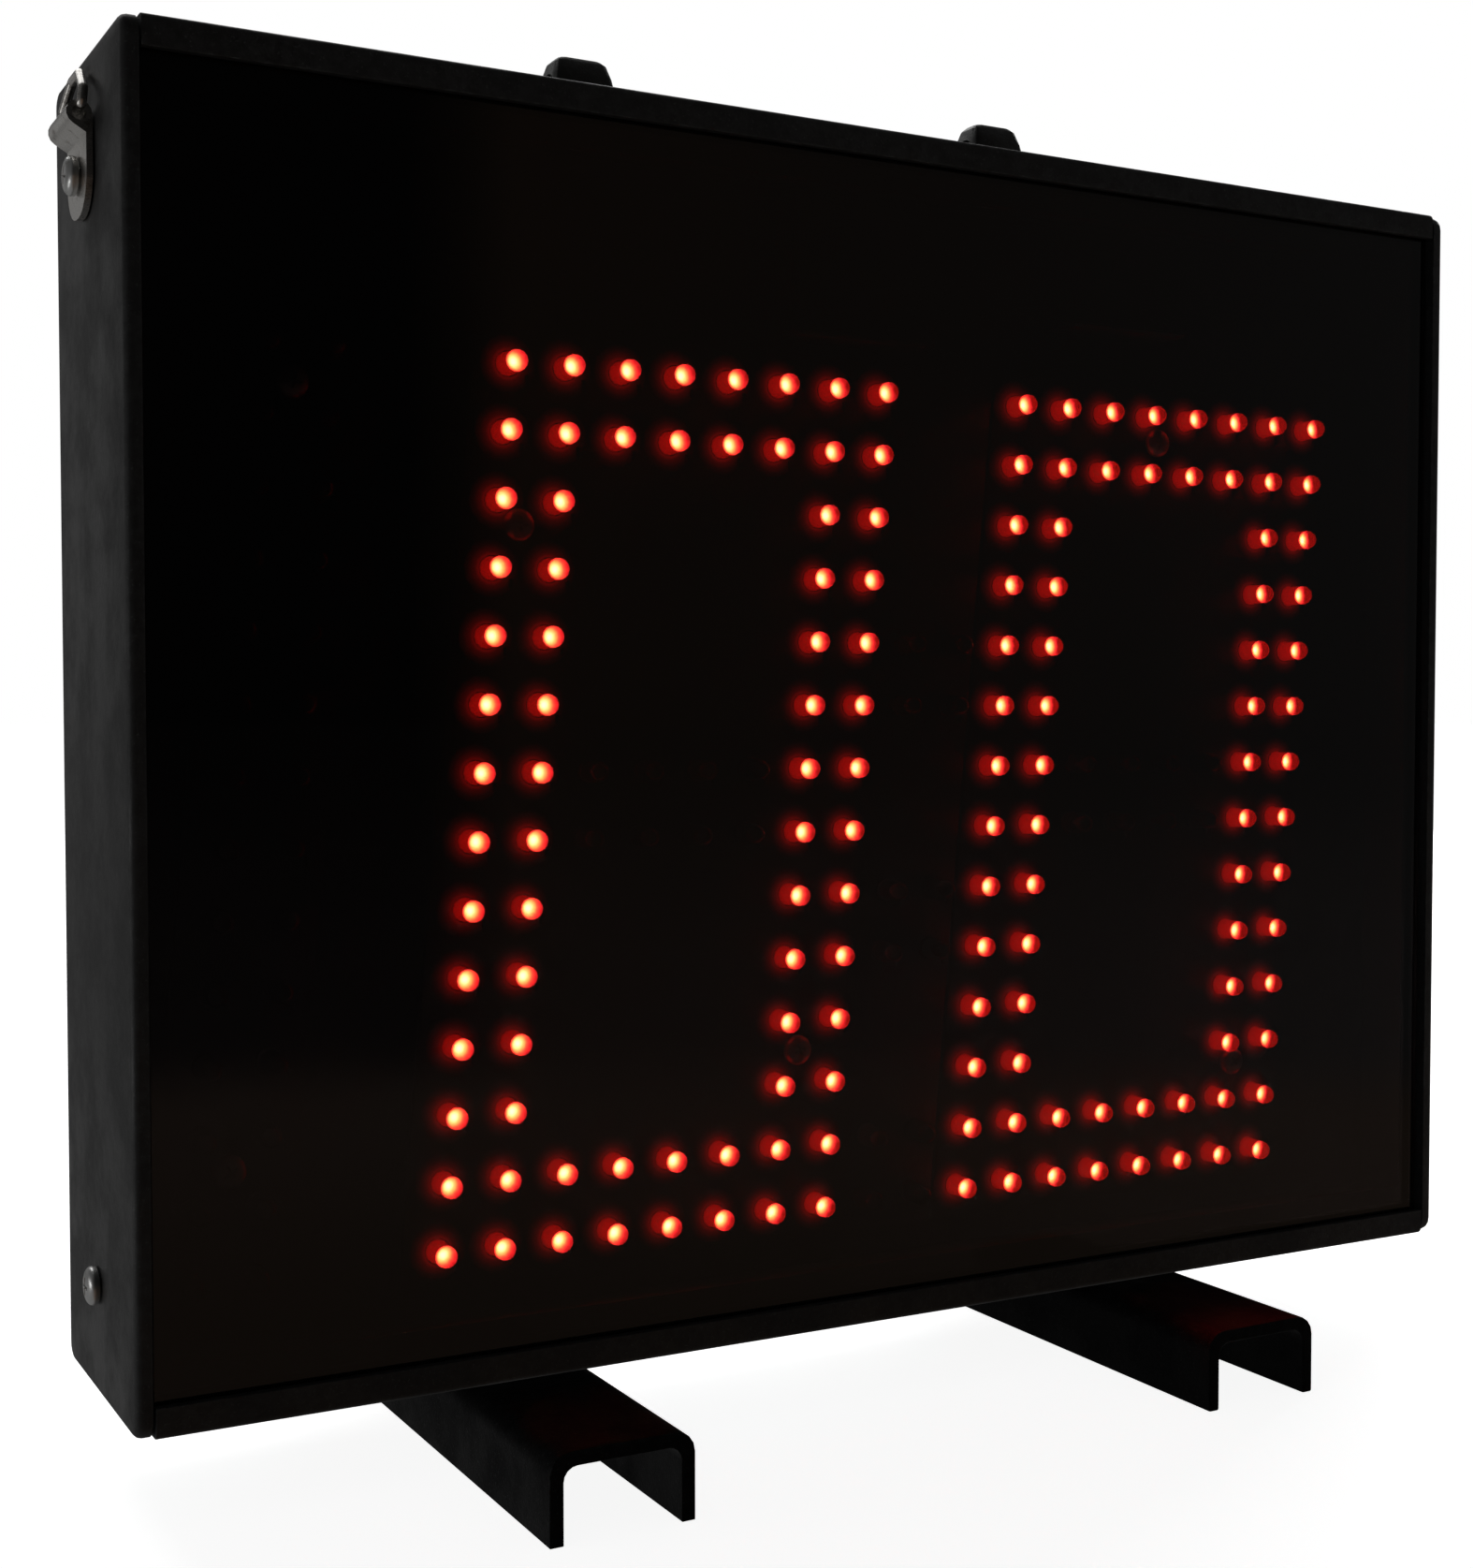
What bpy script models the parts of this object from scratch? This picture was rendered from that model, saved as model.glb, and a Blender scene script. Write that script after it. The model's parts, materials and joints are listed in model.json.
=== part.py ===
"""Free-standing LED number display: a flat box on two channel feet, with a folding handle and hanging rings.

Metres, +Z up, front towards -Y. The origin is on the ground, under the middle of the box.
"""

import math

import bmesh
import bpy
from mathutils import Vector

for old in list(bpy.data.objects):
    bpy.data.objects.remove(old, do_unlink=True)

# ---------------------------------------------------------------- driving dimensions
BOX_W, BOX_D, BOX_H = 0.3548, 0.0654, 0.2800
FOOT_H = 0.0190
GAP = 0.0004  # clearance between neighbouring pieces

END_T = 0.0035  # end plate thickness
RAIL_T = 0.0025  # rail wall
LIP_T, LIP_H = 0.0020, 0.0065  # front lip of a rail
SLOT = 0.0038  # window slot between the two lips
INNER_LIP_H = 0.0080
COVER_T, SEAL_T = 0.0020, 0.0008
FLANGE_T, FLANGE_H = 0.0020, 0.0100  # rear flange of a rail, which takes the cover's screws
WINDOW_T = 0.0030

# LED grid: column 0, row 0 is the tens digit's top left LED. Each row down steps left by the slant.
GRID_X, GRID_Z = -0.0908, FOOT_H + 0.2211
COLUMN_PITCH, ROW_PITCH, ROWS = 0.0137, 0.0150, 14
SLANT = 0.0891
LED_R, LED_H = 0.0025, 0.0080
BOARD_FRONT, BOARD_T, BOARD_EDGE = -0.0145, 0.0016, 0.0080
CHASSIS_FRONT, CHASSIS_T = -0.0079, 0.0020

HARDWARE_Y = 0.0015  # the handle, the straps and the side screws stand in one plane near mid depth
CARRY_X = -0.0083  # the feet and the handle share one centre line, a little left of the box's middle
HANDLE_X = 0.0580  # bracket centres, from that line
PIVOT_H = 0.0075  # bail axis above the box
BAIL_R, BAIL_ARM_X, BAIL_REACH = 0.0030, 0.0460, 0.0480
BAIL_BEND = 0.0048
GRIP_R, GRIP_HALF = 0.0070, 0.0380

FOOT_X = (CARRY_X - 0.0836, CARRY_X + 0.0836)
FOOT_W, FOOT_L, FOOT_WALL, FOOT_ROUND = 0.0320, 0.1530, 0.0030, 0.0045

STRAP_W, STRAP_T = 0.0190, 0.0013
STRAP_TIP, STRAP_SCREW, KNUCKLE = FOOT_H + 0.2463, FOOT_H + 0.2550, FOOT_H + 0.2657
KNUCKLE_R, RING_WIRE, RING_LEAN = 0.0026, 0.0010, math.radians(8)
RING_HALF, RING_SHOULDER, RING_TOP, RING_RISE = 0.0123, 0.0058, 0.0042, 0.0116
SIDE_SCREW = FOOT_H + 0.0237

BASE, TOP = FOOT_H, FOOT_H + BOX_H
FRONT, BACK = -BOX_D / 2, BOX_D / 2
INSIDE = BOX_W / 2 - END_T  # inner faces of the end plates
SEAT = BACK - COVER_T - SEAL_T - 2 * GAP  # rear face of the rails' flanges

CONTROL_Z = FOOT_H + 0.052  # height of the row of controls on the back
SWITCH_X, MODE_X, BRIGHTNESS_X, INLET_X = -0.125, -0.090, -0.066, -0.030


# ---------------------------------------------------------------- materials
def material(name, color, roughness, metallic=0.0, alpha=1.0):
    made = bpy.data.materials.new(name)
    made.use_nodes = True
    shader = made.node_tree.nodes["Principled BSDF"]
    shader.inputs["Base Color"].default_value = (*color, 1.0)
    shader.inputs["Roughness"].default_value = roughness
    shader.inputs["Metallic"].default_value = metallic
    shader.inputs["Alpha"].default_value = alpha
    return made


POWDER = material("black_powder_coat", (0.020, 0.022, 0.024), 0.62)
TINT = material("tinted_window", (0.030, 0.010, 0.010), 0.06, alpha=0.45)
RUBBER = material("black_rubber", (0.015, 0.015, 0.015), 0.80)
PLASTIC = material("black_plastic", (0.018, 0.018, 0.019), 0.45)
NICKEL = material("nickel_steel", (0.62, 0.61, 0.58), 0.25, 1.0)
ZINC = material("zinc_steel", (0.50, 0.50, 0.50), 0.38, 1.0)
ALUMINIUM = material("mill_aluminium", (0.60, 0.61, 0.62), 0.45, 1.0)
BOARD = material("circuit_board", (0.012, 0.020, 0.016), 0.40)
BRASS = material("brass_standoff", (0.70, 0.52, 0.22), 0.35, 1.0)
BATTERY = material("battery_wrap", (0.030, 0.060, 0.180), 0.35)
WIRE = material("wire_jacket", (0.350, 0.020, 0.018), 0.50)
RIBBON = material("ribbon_jacket", (0.320, 0.330, 0.340), 0.55)
SENSOR = material("radar_cover", (0.160, 0.160, 0.170), 0.55)


# ---------------------------------------------------------------- shape helpers
def circle(cx, cy, r, sides=16, turn=0.0):
    return [(cx + r * math.cos(turn + math.tau * k / sides), cy + r * math.sin(turn + math.tau * k / sides))
            for k in range(sides)]


def arc(middle, first, last, steps):
    """Points on the arc from middle + first to middle + last, whose radii are equal."""
    angle = first.angle(last)
    return [middle + (first * math.sin((1 - k / steps) * angle) + last * math.sin(k / steps * angle))
            / math.sin(angle) for k in range(steps + 1)]


def rounded(points, radii, steps=4):
    """A closed outline with each corner turned into an arc of its own radius; 0 leaves it sharp."""
    outline = []
    for k, point in enumerate(points):
        here = Vector(point)
        radius = radii[k] if isinstance(radii, (list, tuple)) else radii
        if radius == 0:
            outline.append(here)
            continue
        to_last = (Vector(points[k - 1]) - here).normalized()
        to_next = (Vector(points[(k + 1) % len(points)]) - here).normalized()
        half = to_last.angle(to_next) / 2
        middle = here + (to_last + to_next).normalized() * radius / math.sin(half)
        first = here + to_last * radius / math.tan(half) - middle
        last = here + to_next * radius / math.tan(half) - middle
        outline += arc(middle, first, last, steps)
    return outline


def rectangle(x0, y0, x1, y1):
    return [(x0, y0), (x1, y0), (x1, y1), (x0, y1)]


def lifted(point, axis, height):
    """A point of an outline drawn square to the axis, put at that height along it."""
    a, b = point
    return {"X": Vector((height, a, b)), "Y": Vector((a, height, b)), "Z": Vector((a, b, height))}[axis]


def add_prism(bm, outline, axis, start, end):
    """Extrudes an outline along the axis, from start to end."""
    near = [bm.verts.new(lifted(p, axis, start)) for p in outline]
    far = [bm.verts.new(lifted(p, axis, end)) for p in outline]
    count = len(outline)
    bm.faces.new(near)
    bm.faces.new(far)
    for k in range(count):
        bm.faces.new((near[k], near[(k + 1) % count], far[(k + 1) % count], far[k]))


def add_rings(bm, rings):
    """Bridges closed loops of the same count, and closes both ends."""
    loops = [[bm.verts.new(p) for p in ring] for ring in rings]
    bm.faces.new(loops[0])
    bm.faces.new(loops[-1])
    for lower, upper in zip(loops, loops[1:]):
        for k in range(len(lower)):
            m = (k + 1) % len(lower)
            bm.faces.new((lower[k], lower[m], upper[m], upper[k]))


def finish(name, bm, finish_material, smooth=False):
    bmesh.ops.recalc_face_normals(bm, faces=bm.faces)
    mesh = bpy.data.meshes.new(name)
    bm.to_mesh(mesh)
    bm.free()
    mesh.materials.append(finish_material)
    if smooth:
        mesh.shade_smooth()
        mesh.set_sharp_from_angle(angle=math.radians(35))
    made = bpy.data.objects.new(name, mesh)
    bpy.context.scene.collection.objects.link(made)
    return made


def prism(name, outline, axis, start, end, finish_material, smooth=False):
    bm = bmesh.new()
    add_prism(bm, outline, axis, start, end)
    return finish(name, bm, finish_material, smooth)


def block(name, low, high, finish_material, bevel=0.0):
    bm = bmesh.new()
    add_prism(bm, rectangle(low[0], low[1], high[0], high[1]), "Z", low[2], high[2])
    made = finish(name, bm, finish_material)
    if bevel:
        edge = made.modifiers.new("soft edges", "BEVEL")
        edge.width, edge.segments, edge.limit_method = bevel, 2, "ANGLE"
    return made


def helper(name, shapes):
    """A hidden cutter or addition made of several closed shapes: (outline, axis, start, end) each."""
    bm = bmesh.new()
    for outline, axis, start, end in shapes:
        add_prism(bm, outline, axis, start, end)
    made = finish(name, bm, POWDER)
    made.hide_render = True
    made.display_type = "WIRE"
    return made


def boolean(target, name, operation, shapes):
    change = target.modifiers.new(name, "BOOLEAN")
    change.operation = operation
    change.object = helper(f"{target.name}_{name}", shapes)


def wire(name, points, radius, finish_material, resolution=2, closed=False):
    """A round bar or lead along a path of points."""
    data = bpy.data.curves.new(name, "CURVE")
    data.dimensions = "3D"
    data.bevel_depth = radius
    data.bevel_resolution = resolution
    data.use_fill_caps = not closed
    spline = data.splines.new("POLY")
    spline.points.add(len(points) - 1)
    for place, point in zip(spline.points, points):
        place.co = (*point, 1.0)
    spline.use_cyclic_u = closed
    data.materials.append(finish_material)
    made = bpy.data.objects.new(name, data)
    bpy.context.scene.collection.objects.link(made)
    return made


def bent_path(points, radius, steps=6):
    """The open path through the points, with its inner corners turned into arcs."""
    path = [Vector(points[0])]
    for last, here, following in zip(points, points[1:], points[2:]):
        here = Vector(here)
        to_last = (Vector(last) - here).normalized()
        to_next = (Vector(following) - here).normalized()
        half = to_last.angle(to_next) / 2
        middle = here + (to_last + to_next).normalized() * radius / math.sin(half)
        first = here + to_last * radius / math.tan(half) - middle
        final = here + to_next * radius / math.tan(half) - middle
        path += arc(middle, first, final, steps)
    return path + [Vector(points[-1])]


def smooth_path(points, steps=6):
    """A smooth curve through the points."""
    padded = [points[0], *points, points[-1]]
    path = []
    for a, b, c, d in zip(padded, padded[1:], padded[2:], padded[3:]):
        a, b, c, d = map(Vector, (a, b, c, d))
        for step in range(steps):
            t = step / steps
            path.append(0.5 * (2 * b + (c - a) * t + (2 * a - 5 * b + 4 * c - d) * t * t
                               + (3 * b - a - 3 * c + d) * t ** 3))
    return path + [Vector(points[-1])]


SCREW_HEAD_R, SCREW_HEAD_H, SCREW_R = 0.0041, 0.0024, 0.0020
HOLE_R = SCREW_R + 0.0004


def screw(name, seat, direction, length, finish_material=ZINC, head_r=SCREW_HEAD_R):
    """A pan-head screw: its head stands on the seat, and its shank runs back along -direction."""
    profile = [(SCREW_R, -length), (SCREW_R, 0.0), (head_r, 0.0), (head_r, 0.4 * SCREW_HEAD_H),
               (0.82 * head_r, 0.8 * SCREW_HEAD_H), (0.45 * head_r, SCREW_HEAD_H)]
    bm = bmesh.new()
    add_rings(bm, [[Vector((x, y, height)) for x, y in circle(0, 0, r, 12)] for r, height in profile])
    made = finish(name, bm, finish_material, smooth=True)
    made.rotation_mode = "QUATERNION"
    made.rotation_quaternion = Vector((0, 0, 1)).rotation_difference(Vector(direction))
    made.location = Vector(seat) + GAP * Vector(direction)
    return made


def pivot(name, place):
    """An empty on a joint's axis, which carries the pieces that turn or slide."""
    made = bpy.data.objects.new(name, None)
    made.location = place
    bpy.context.scene.collection.objects.link(made)
    return made


def carry(parent, *pieces):
    """Parents pieces that are already modelled round the parent's own origin."""
    for piece in pieces:
        piece.parent = parent


# ---------------------------------------------------------------- box: rails and end plates
def rail(name, skin, inward):
    """An extrusion between the end plates. inward points from its skin into the box: -1 at the top."""
    def at(y, depth):
        return (y, skin + inward * depth)

    slot_back = FRONT + LIP_T + SLOT
    outline = rounded(
        [at(FRONT, 0), at(BACK, 0), at(BACK, RAIL_T), at(SEAT, RAIL_T), at(SEAT, FLANGE_H),
         at(SEAT - FLANGE_T, FLANGE_H), at(SEAT - FLANGE_T, RAIL_T), at(slot_back + LIP_T, RAIL_T),
         at(slot_back + LIP_T, INNER_LIP_H), at(slot_back, INNER_LIP_H), at(slot_back, RAIL_T),
         at(FRONT + LIP_T, RAIL_T), at(FRONT + LIP_T, LIP_H), at(FRONT, LIP_H)],
        [0.0015, 0.0015, 0, 0, 0, 0, 0, 0, 0, 0, 0, 0, 0, 0])
    return prism(name, outline, "X", -INSIDE + GAP, INSIDE - GAP, POWDER, smooth=True)


def end_plate(name, side):
    """A flat plate over the rails' ends, with round corners and a soft outer edge."""
    corner, soft, steps = 0.0040, 0.0016, 3

    def ring(x, inset):
        outline = rectangle(FRONT + inset, BASE + inset, BACK - inset, TOP - inset)
        return [Vector((side * x, y, z)) for y, z in rounded(outline, corner - inset)]

    outer = BOX_W / 2
    rings = [ring(INSIDE, 0.0)]
    for step in range(steps + 1):
        angle = math.pi / 2 * step / steps
        rings.append(ring(outer - soft * (1 - math.sin(angle)), soft * (1 - math.cos(angle))))
    bm = bmesh.new()
    add_rings(bm, rings)
    made = finish(name, bm, POWDER, smooth=True)
    boolean(made, "holes", "DIFFERENCE", [
        (circle(HARDWARE_Y, height, HOLE_R), "X", side * (INSIDE - 0.001), side * (outer + 0.001))
        for height in (SIDE_SCREW, STRAP_SCREW)])
    return made


top_rail = rail("top_rail", TOP, -1)
bottom_rail = rail("bottom_rail", BASE, 1)
end_plate("left_end_plate", -1)
end_plate("right_end_plate", 1)

# ---------------------------------------------------------------- window and its seal
window_front = FRONT + LIP_T + GAP
window_back = window_front + WINDOW_T
pane_x = INSIDE - GAP
pane_low, pane_high = BASE + RAIL_T + GAP, TOP - RAIL_T - GAP
block("front_window", (-pane_x, window_front, pane_low), (pane_x, window_back, pane_high), TINT)


def frame(name, x, low, high, border, start, end, finish_material):
    """A thin rectangular ring, square to Y."""
    made = prism(name, rectangle(-x, low, x, high), "Y", start, end, finish_material)
    boolean(made, "opening", "DIFFERENCE", [
        (rectangle(-x + border, low + border, x - border, high - border), "Y", start - 0.001, end + 0.001)])
    return made


gasket_inset = INNER_LIP_H + GAP
frame("window_gasket", pane_x, BASE + gasket_inset, TOP - gasket_inset, 0.0045,
      window_back + GAP, window_back + GAP + 0.0025, RUBBER)

# ---------------------------------------------------------------- rear cover
cover_low, cover_high = BASE + RAIL_T + GAP, TOP - RAIL_T - GAP
cover = block("rear_cover", (-pane_x, BACK - COVER_T, cover_low), (pane_x, BACK, cover_high), POWDER)
SCREW_COLUMNS, SCREW_INSET = (-0.150, 0.150), 0.0068
cover_screws = [(x, z) for z in (TOP - SCREW_INSET, BASE + SCREW_INSET) for x in SCREW_COLUMNS]
SWITCH_W, SWITCH_H = 0.0130, 0.0192
BUTTON_R = 0.0060
INLET_R = 0.0070
cut_start, cut_end = BACK - COVER_T - 0.001, BACK + 0.001
boolean(cover, "openings", "DIFFERENCE", [
    *[(circle(x, z, HOLE_R), "Y", cut_start, cut_end) for x, z in cover_screws],
    (rectangle(SWITCH_X - SWITCH_W / 2, CONTROL_Z - SWITCH_H / 2,
               SWITCH_X + SWITCH_W / 2, CONTROL_Z + SWITCH_H / 2), "Y", cut_start, cut_end),
    *[(circle(x, CONTROL_Z, BUTTON_R), "Y", cut_start, cut_end) for x in (MODE_X, BRIGHTNESS_X)],
    (circle(INLET_X, CONTROL_Z, INLET_R, 20), "Y", cut_start, cut_end)])
seal = frame("rear_cover_gasket", pane_x, cover_low, cover_high, FLANGE_H - RAIL_T - 0.0003,
             SEAT + GAP, SEAT + GAP + SEAL_T, RUBBER)
boolean(seal, "screw_holes", "DIFFERENCE",
        [(circle(x, z, HOLE_R), "Y", SEAT, BACK) for x, z in cover_screws])
for target, height in ((top_rail, TOP - SCREW_INSET), (bottom_rail, BASE + SCREW_INSET)):
    boolean(target, "cover_screw_holes", "DIFFERENCE",
            [(circle(x, height, HOLE_R), "Y", SEAT - FLANGE_T - 0.001, SEAT + 0.001) for x in SCREW_COLUMNS])
for number, (x, z) in enumerate(cover_screws, 1):
    screw(f"rear_cover_screw_{number}", (x, BACK, z), (0, 1, 0), 0.0085)

# ---------------------------------------------------------------- chassis plate
chassis_low, chassis_high = BASE + 0.0095, TOP - 0.0095
chassis_x = INSIDE - GAP
FLANGE_BACK = 0.0220
chassis_outline = [
    (-chassis_x, CHASSIS_FRONT), (chassis_x, CHASSIS_FRONT), (chassis_x, FLANGE_BACK),
    (chassis_x - CHASSIS_T, FLANGE_BACK), (chassis_x - CHASSIS_T, CHASSIS_FRONT + CHASSIS_T),
    (-chassis_x + CHASSIS_T, CHASSIS_FRONT + CHASSIS_T), (-chassis_x + CHASSIS_T, FLANGE_BACK),
    (-chassis_x, FLANGE_BACK)]
chassis = prism("chassis_plate", chassis_outline, "Z", chassis_low, chassis_high, ALUMINIUM)
RIBBON_SLOT = (0.060, 0.110)  # the slot's ends along X
RIBBON_Z = FOOT_H + 0.244
boolean(chassis, "holes", "DIFFERENCE", [
    *[(circle(HARDWARE_Y, height, HOLE_R), "X", side * (INSIDE - 0.004), side * (INSIDE + 0.001))
      for side in (-1, 1) for height in (SIDE_SCREW, STRAP_SCREW)],
    (rectangle(RIBBON_SLOT[0], RIBBON_Z - 0.002, RIBBON_SLOT[1], RIBBON_Z + 0.002), "Y",
     CHASSIS_FRONT - 0.001, CHASSIS_FRONT + CHASSIS_T + 0.001)])
electronics_front = CHASSIS_FRONT + CHASSIS_T + GAP


# ---------------------------------------------------------------- LED boards
def led_place(column, row):
    """Where the LED of that column and row stands, as x and z."""
    z = GRID_Z - row * ROW_PITCH
    return GRID_X + column * COLUMN_PITCH + (z - GRID_Z) * SLANT, z


def digit_leds(first_column):
    """The strokes of a seven-segment figure, two LEDs wide."""
    sides = {0, 1, 6, 7}
    bars = {0, 1, 6, 7, 12, 13}
    return [(first_column + column, row) for row in range(ROWS) for column in range(8)
            if column in sides or row in bars]


def led_board(name, first_edge, last_edge, leds):
    """A slanted board with its LEDs standing on the front. Its edges are given in columns."""
    high = GRID_Z + BOARD_EDGE
    low = GRID_Z - (ROWS - 1) * ROW_PITCH - BOARD_EDGE

    def edge(column, z):
        return (GRID_X + column * COLUMN_PITCH + (z - GRID_Z) * SLANT, z)

    outline = [edge(first_edge, low), edge(last_edge, low), edge(last_edge, high), edge(first_edge, high)]
    made = prism(name, outline, "Y", BOARD_FRONT, BOARD_FRONT + BOARD_T, BOARD)
    boolean(made, "leds", "UNION", [
        (circle(*led_place(column, row), LED_R, 6), "Y", BOARD_FRONT - LED_H, BOARD_FRONT + BOARD_T / 2)
        for column, row in leds])
    return made


dots = [(column, row) for column in (8, 9) for row in (4, 5, 8, 9, 12, 13)]
led_board("hundreds_board", -4.6, -2.4, [(column, row) for column in (-4, -3) for row in range(ROWS)])
led_board("tens_board", -0.6, 9.47, digit_leds(0) + dots)
led_board("units_board", 9.53, 17.6, digit_leds(10))
for label, column in (("hundreds", -3.5), ("tens", 3.5), ("units", 13.5)):
    for place, row in (("upper", 2.5), ("lower", 10.5)):
        x, z = led_place(column, row)
        prism(f"{label}_standoff_{place}", circle(x, z, 0.0028, 6), "Y",
              BOARD_FRONT + BOARD_T + GAP, CHASSIS_FRONT - GAP, BRASS)

# ---------------------------------------------------------------- electronics
RADAR_W, RADAR_T = 0.0400, 0.0100
block("radar_module", (-RADAR_W / 2, CHASSIS_FRONT - GAP - RADAR_T, TOP - 0.0130 - 0.0340),
      (RADAR_W / 2, CHASSIS_FRONT - GAP, TOP - 0.0130), SENSOR, bevel=0.0010)
BATTERY_LOW, BATTERY_HIGH = BASE + 0.0860, BASE + 0.1540
battery_back = electronics_front + 0.0220
block("battery_pack", (0.0200, electronics_front, BATTERY_LOW), (0.1400, battery_back, BATTERY_HIGH),
      BATTERY, bevel=0.0030)
strap_x = (0.0700, 0.0900)
clamp_t = 0.0012
clamp_low, clamp_high = BATTERY_LOW - GAP, BATTERY_HIGH + GAP
clamp_outline = [
    (electronics_front, clamp_low - 0.0120), (electronics_front + clamp_t, clamp_low - 0.0120),
    (electronics_front + clamp_t, clamp_low - clamp_t), (battery_back + GAP + clamp_t, clamp_low - clamp_t),
    (battery_back + GAP + clamp_t, clamp_high + clamp_t), (electronics_front + clamp_t, clamp_high + clamp_t),
    (electronics_front + clamp_t, clamp_high + 0.0120), (electronics_front, clamp_high + 0.0120),
    (electronics_front, clamp_high), (battery_back + GAP, clamp_high), (battery_back + GAP, clamp_low),
    (electronics_front, clamp_low)]
prism("battery_bracket", clamp_outline, "X", *strap_x, ZINC)


def circuit(name, low, high, parts):
    """A board on the chassis with blocks for its components: (x, z, width, height, rise) each."""
    made = block(name, (low[0], electronics_front + 0.0040, low[1]),
                 (high[0], electronics_front + 0.0056, high[1]), BOARD)
    boolean(made, "components", "UNION", [
        (rectangle(x - w / 2, z - h / 2, x + w / 2, z + h / 2), "Y", electronics_front + 0.0050,
         electronics_front + 0.0056 + rise) for x, z, w, h, rise in parts])
    return made


control_low, control_high = (-0.1400, BASE + 0.1500), (-0.0500, BASE + 0.2150)
circuit("control_board", control_low, control_high, [
    (-0.1050, BASE + 0.1850, 0.0180, 0.0180, 0.0020), (-0.0700, BASE + 0.2000, 0.0300, 0.0080, 0.0090),
    (-0.1250, BASE + 0.1600, 0.0120, 0.0080, 0.0060), (-0.0700, BASE + 0.1650, 0.0100, 0.0140, 0.0100)])
circuit("charge_board", (-0.0400, BASE + 0.1000), (0.0050, BASE + 0.1400), [
    (-0.0250, BASE + 0.1200, 0.0120, 0.0120, 0.0080), (-0.0080, BASE + 0.1120, 0.0100, 0.0120, 0.0110)])

# ---------------------------------------------------------------- controls on the back
BEZEL_H = 0.0016
face = BACK + GAP


def switch():
    """A rocker switch: the body clips into the cover, and the rocker turns on a cross axis in its window."""
    w, h = SWITCH_W / 2 - GAP, SWITCH_H / 2 - GAP
    bezel, wall = 0.0012, 0.0013  # how far the bezel laps the cover, and the wall round the well

    def around(margin):
        wide, high = w + margin, h + margin
        return rectangle(SWITCH_X - wide, CONTROL_Z - high, SWITCH_X + wide, CONTROL_Z + high)

    body = prism("power_switch_body", around(0.0), "Y", BACK - 0.0150, BACK + 0.0010, PLASTIC)
    boolean(body, "bezel", "UNION", [(rounded(around(bezel), bezel, 2), "Y", face, face + BEZEL_H)])
    boolean(body, "well", "DIFFERENCE", [(around(-wall), "Y", BACK - 0.0080, BACK + 0.0100)])
    axis = pivot("power_rocker_axis", (SWITCH_X, BACK - 0.0020, CONTROL_Z))
    half, root, crown, dip = h - 2 * wall, -0.0030, 0.0046, 0.0016
    outline = [(root, -half), (crown, -half), (crown - dip, 0.0), (crown, half), (root, half)]
    rocker_x = w - wall - GAP
    rocker = prism("power_rocker", outline, "X", -rocker_x, rocker_x, PLASTIC)
    carry(axis, rocker)
    axis.rotation_euler.x = math.radians(8)


def push_button(label, x):
    """A round push button: a threaded body through the cover, and a cap that slides in it."""
    r = BUTTON_R - GAP
    body = prism(f"{label}_button_body", circle(x, CONTROL_Z, r), "Y",
                 BACK - 0.0120, BACK + 0.0010, PLASTIC, smooth=True)
    boolean(body, "bezel", "UNION", [(circle(x, CONTROL_Z, r + 0.0014), "Y", face, face + BEZEL_H)])
    boolean(body, "well", "DIFFERENCE", [
        (circle(x, CONTROL_Z, r - 0.0012), "Y", BACK - 0.0060, BACK + 0.0100)])
    axis = pivot(f"{label}_button_axis", (x, BACK, CONTROL_Z))
    cap_r = r - 0.0016
    bm = bmesh.new()
    add_rings(bm, [[lifted(p, "Y", y) for p in circle(0, 0, radius)] for radius, y in (
        (cap_r, -0.0038), (cap_r, 0.0030), (0.85 * cap_r, 0.0036))])
    carry(axis, finish(f"{label}_button_cap", bm, RUBBER, True))


def inlet():
    """A round socket with its collar, and a cap that swings up on a hinge over it."""
    r = INLET_R - GAP
    socket_r, hinge_rise, hinge_y = 0.0045, 0.0058, face + 0.0044
    ear_middle, ear_half, tongue_half = 0.0045, 0.0012, 0.0028
    body = prism("charge_inlet", circle(INLET_X, CONTROL_Z, r, 20), "Y",
                 BACK - 0.0140, BACK + 0.0010, PLASTIC, smooth=True)
    boolean(body, "collar", "UNION", [(circle(INLET_X, CONTROL_Z, r + 0.0020, 20), "Y", face, face + 0.0030)])
    boolean(body, "socket", "DIFFERENCE", [
        (circle(INLET_X, CONTROL_Z, socket_r), "Y", BACK - 0.0100, BACK + 0.0100)])
    hinge_h = r + hinge_rise
    for side in (-1, 1):
        left, right = (INLET_X + side * ear_middle + edge * ear_half for edge in (-1, 1))
        boolean(body, f"ear_base_{side}", "UNION", [
            (rectangle(left, CONTROL_Z + r - 0.0010, right, CONTROL_Z + hinge_h + 0.0018), "Y",
             face, face + 0.0029)])
        boolean(body, f"ear_{side}", "UNION", [
            (rectangle(left, CONTROL_Z + hinge_h - 0.0019, right, CONTROL_Z + hinge_h + 0.0019), "Y",
             face + 0.0001, face + 0.0064)])
    boolean(body, "pin_hole", "DIFFERENCE", [
        (circle(hinge_y, CONTROL_Z + hinge_h, 0.0011, 10), "X", INLET_X - 0.0080, INLET_X + 0.0080)])
    axis = pivot("inlet_cap_axis", (INLET_X, hinge_y, CONTROL_Z + hinge_h))
    cap = prism("inlet_cap", circle(0, -hinge_h, r + 0.0018, 20), "Y", -0.0010, 0.0016, RUBBER, smooth=True)
    boolean(cap, "tongue", "UNION", [
        (rectangle(-tongue_half, -hinge_h, tongue_half, 0.0), "Y", -0.0010, 0.0012)])
    boolean(cap, "hinge_pin", "UNION", [(circle(0, 0, 0.0007, 10), "X", -0.0060, 0.0060),
                                       (circle(0, 0, 0.0014, 10), "X", -tongue_half, tongue_half)])
    for change in cap.modifiers:
        carry(axis, change.object)
    carry(axis, cap)


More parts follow.
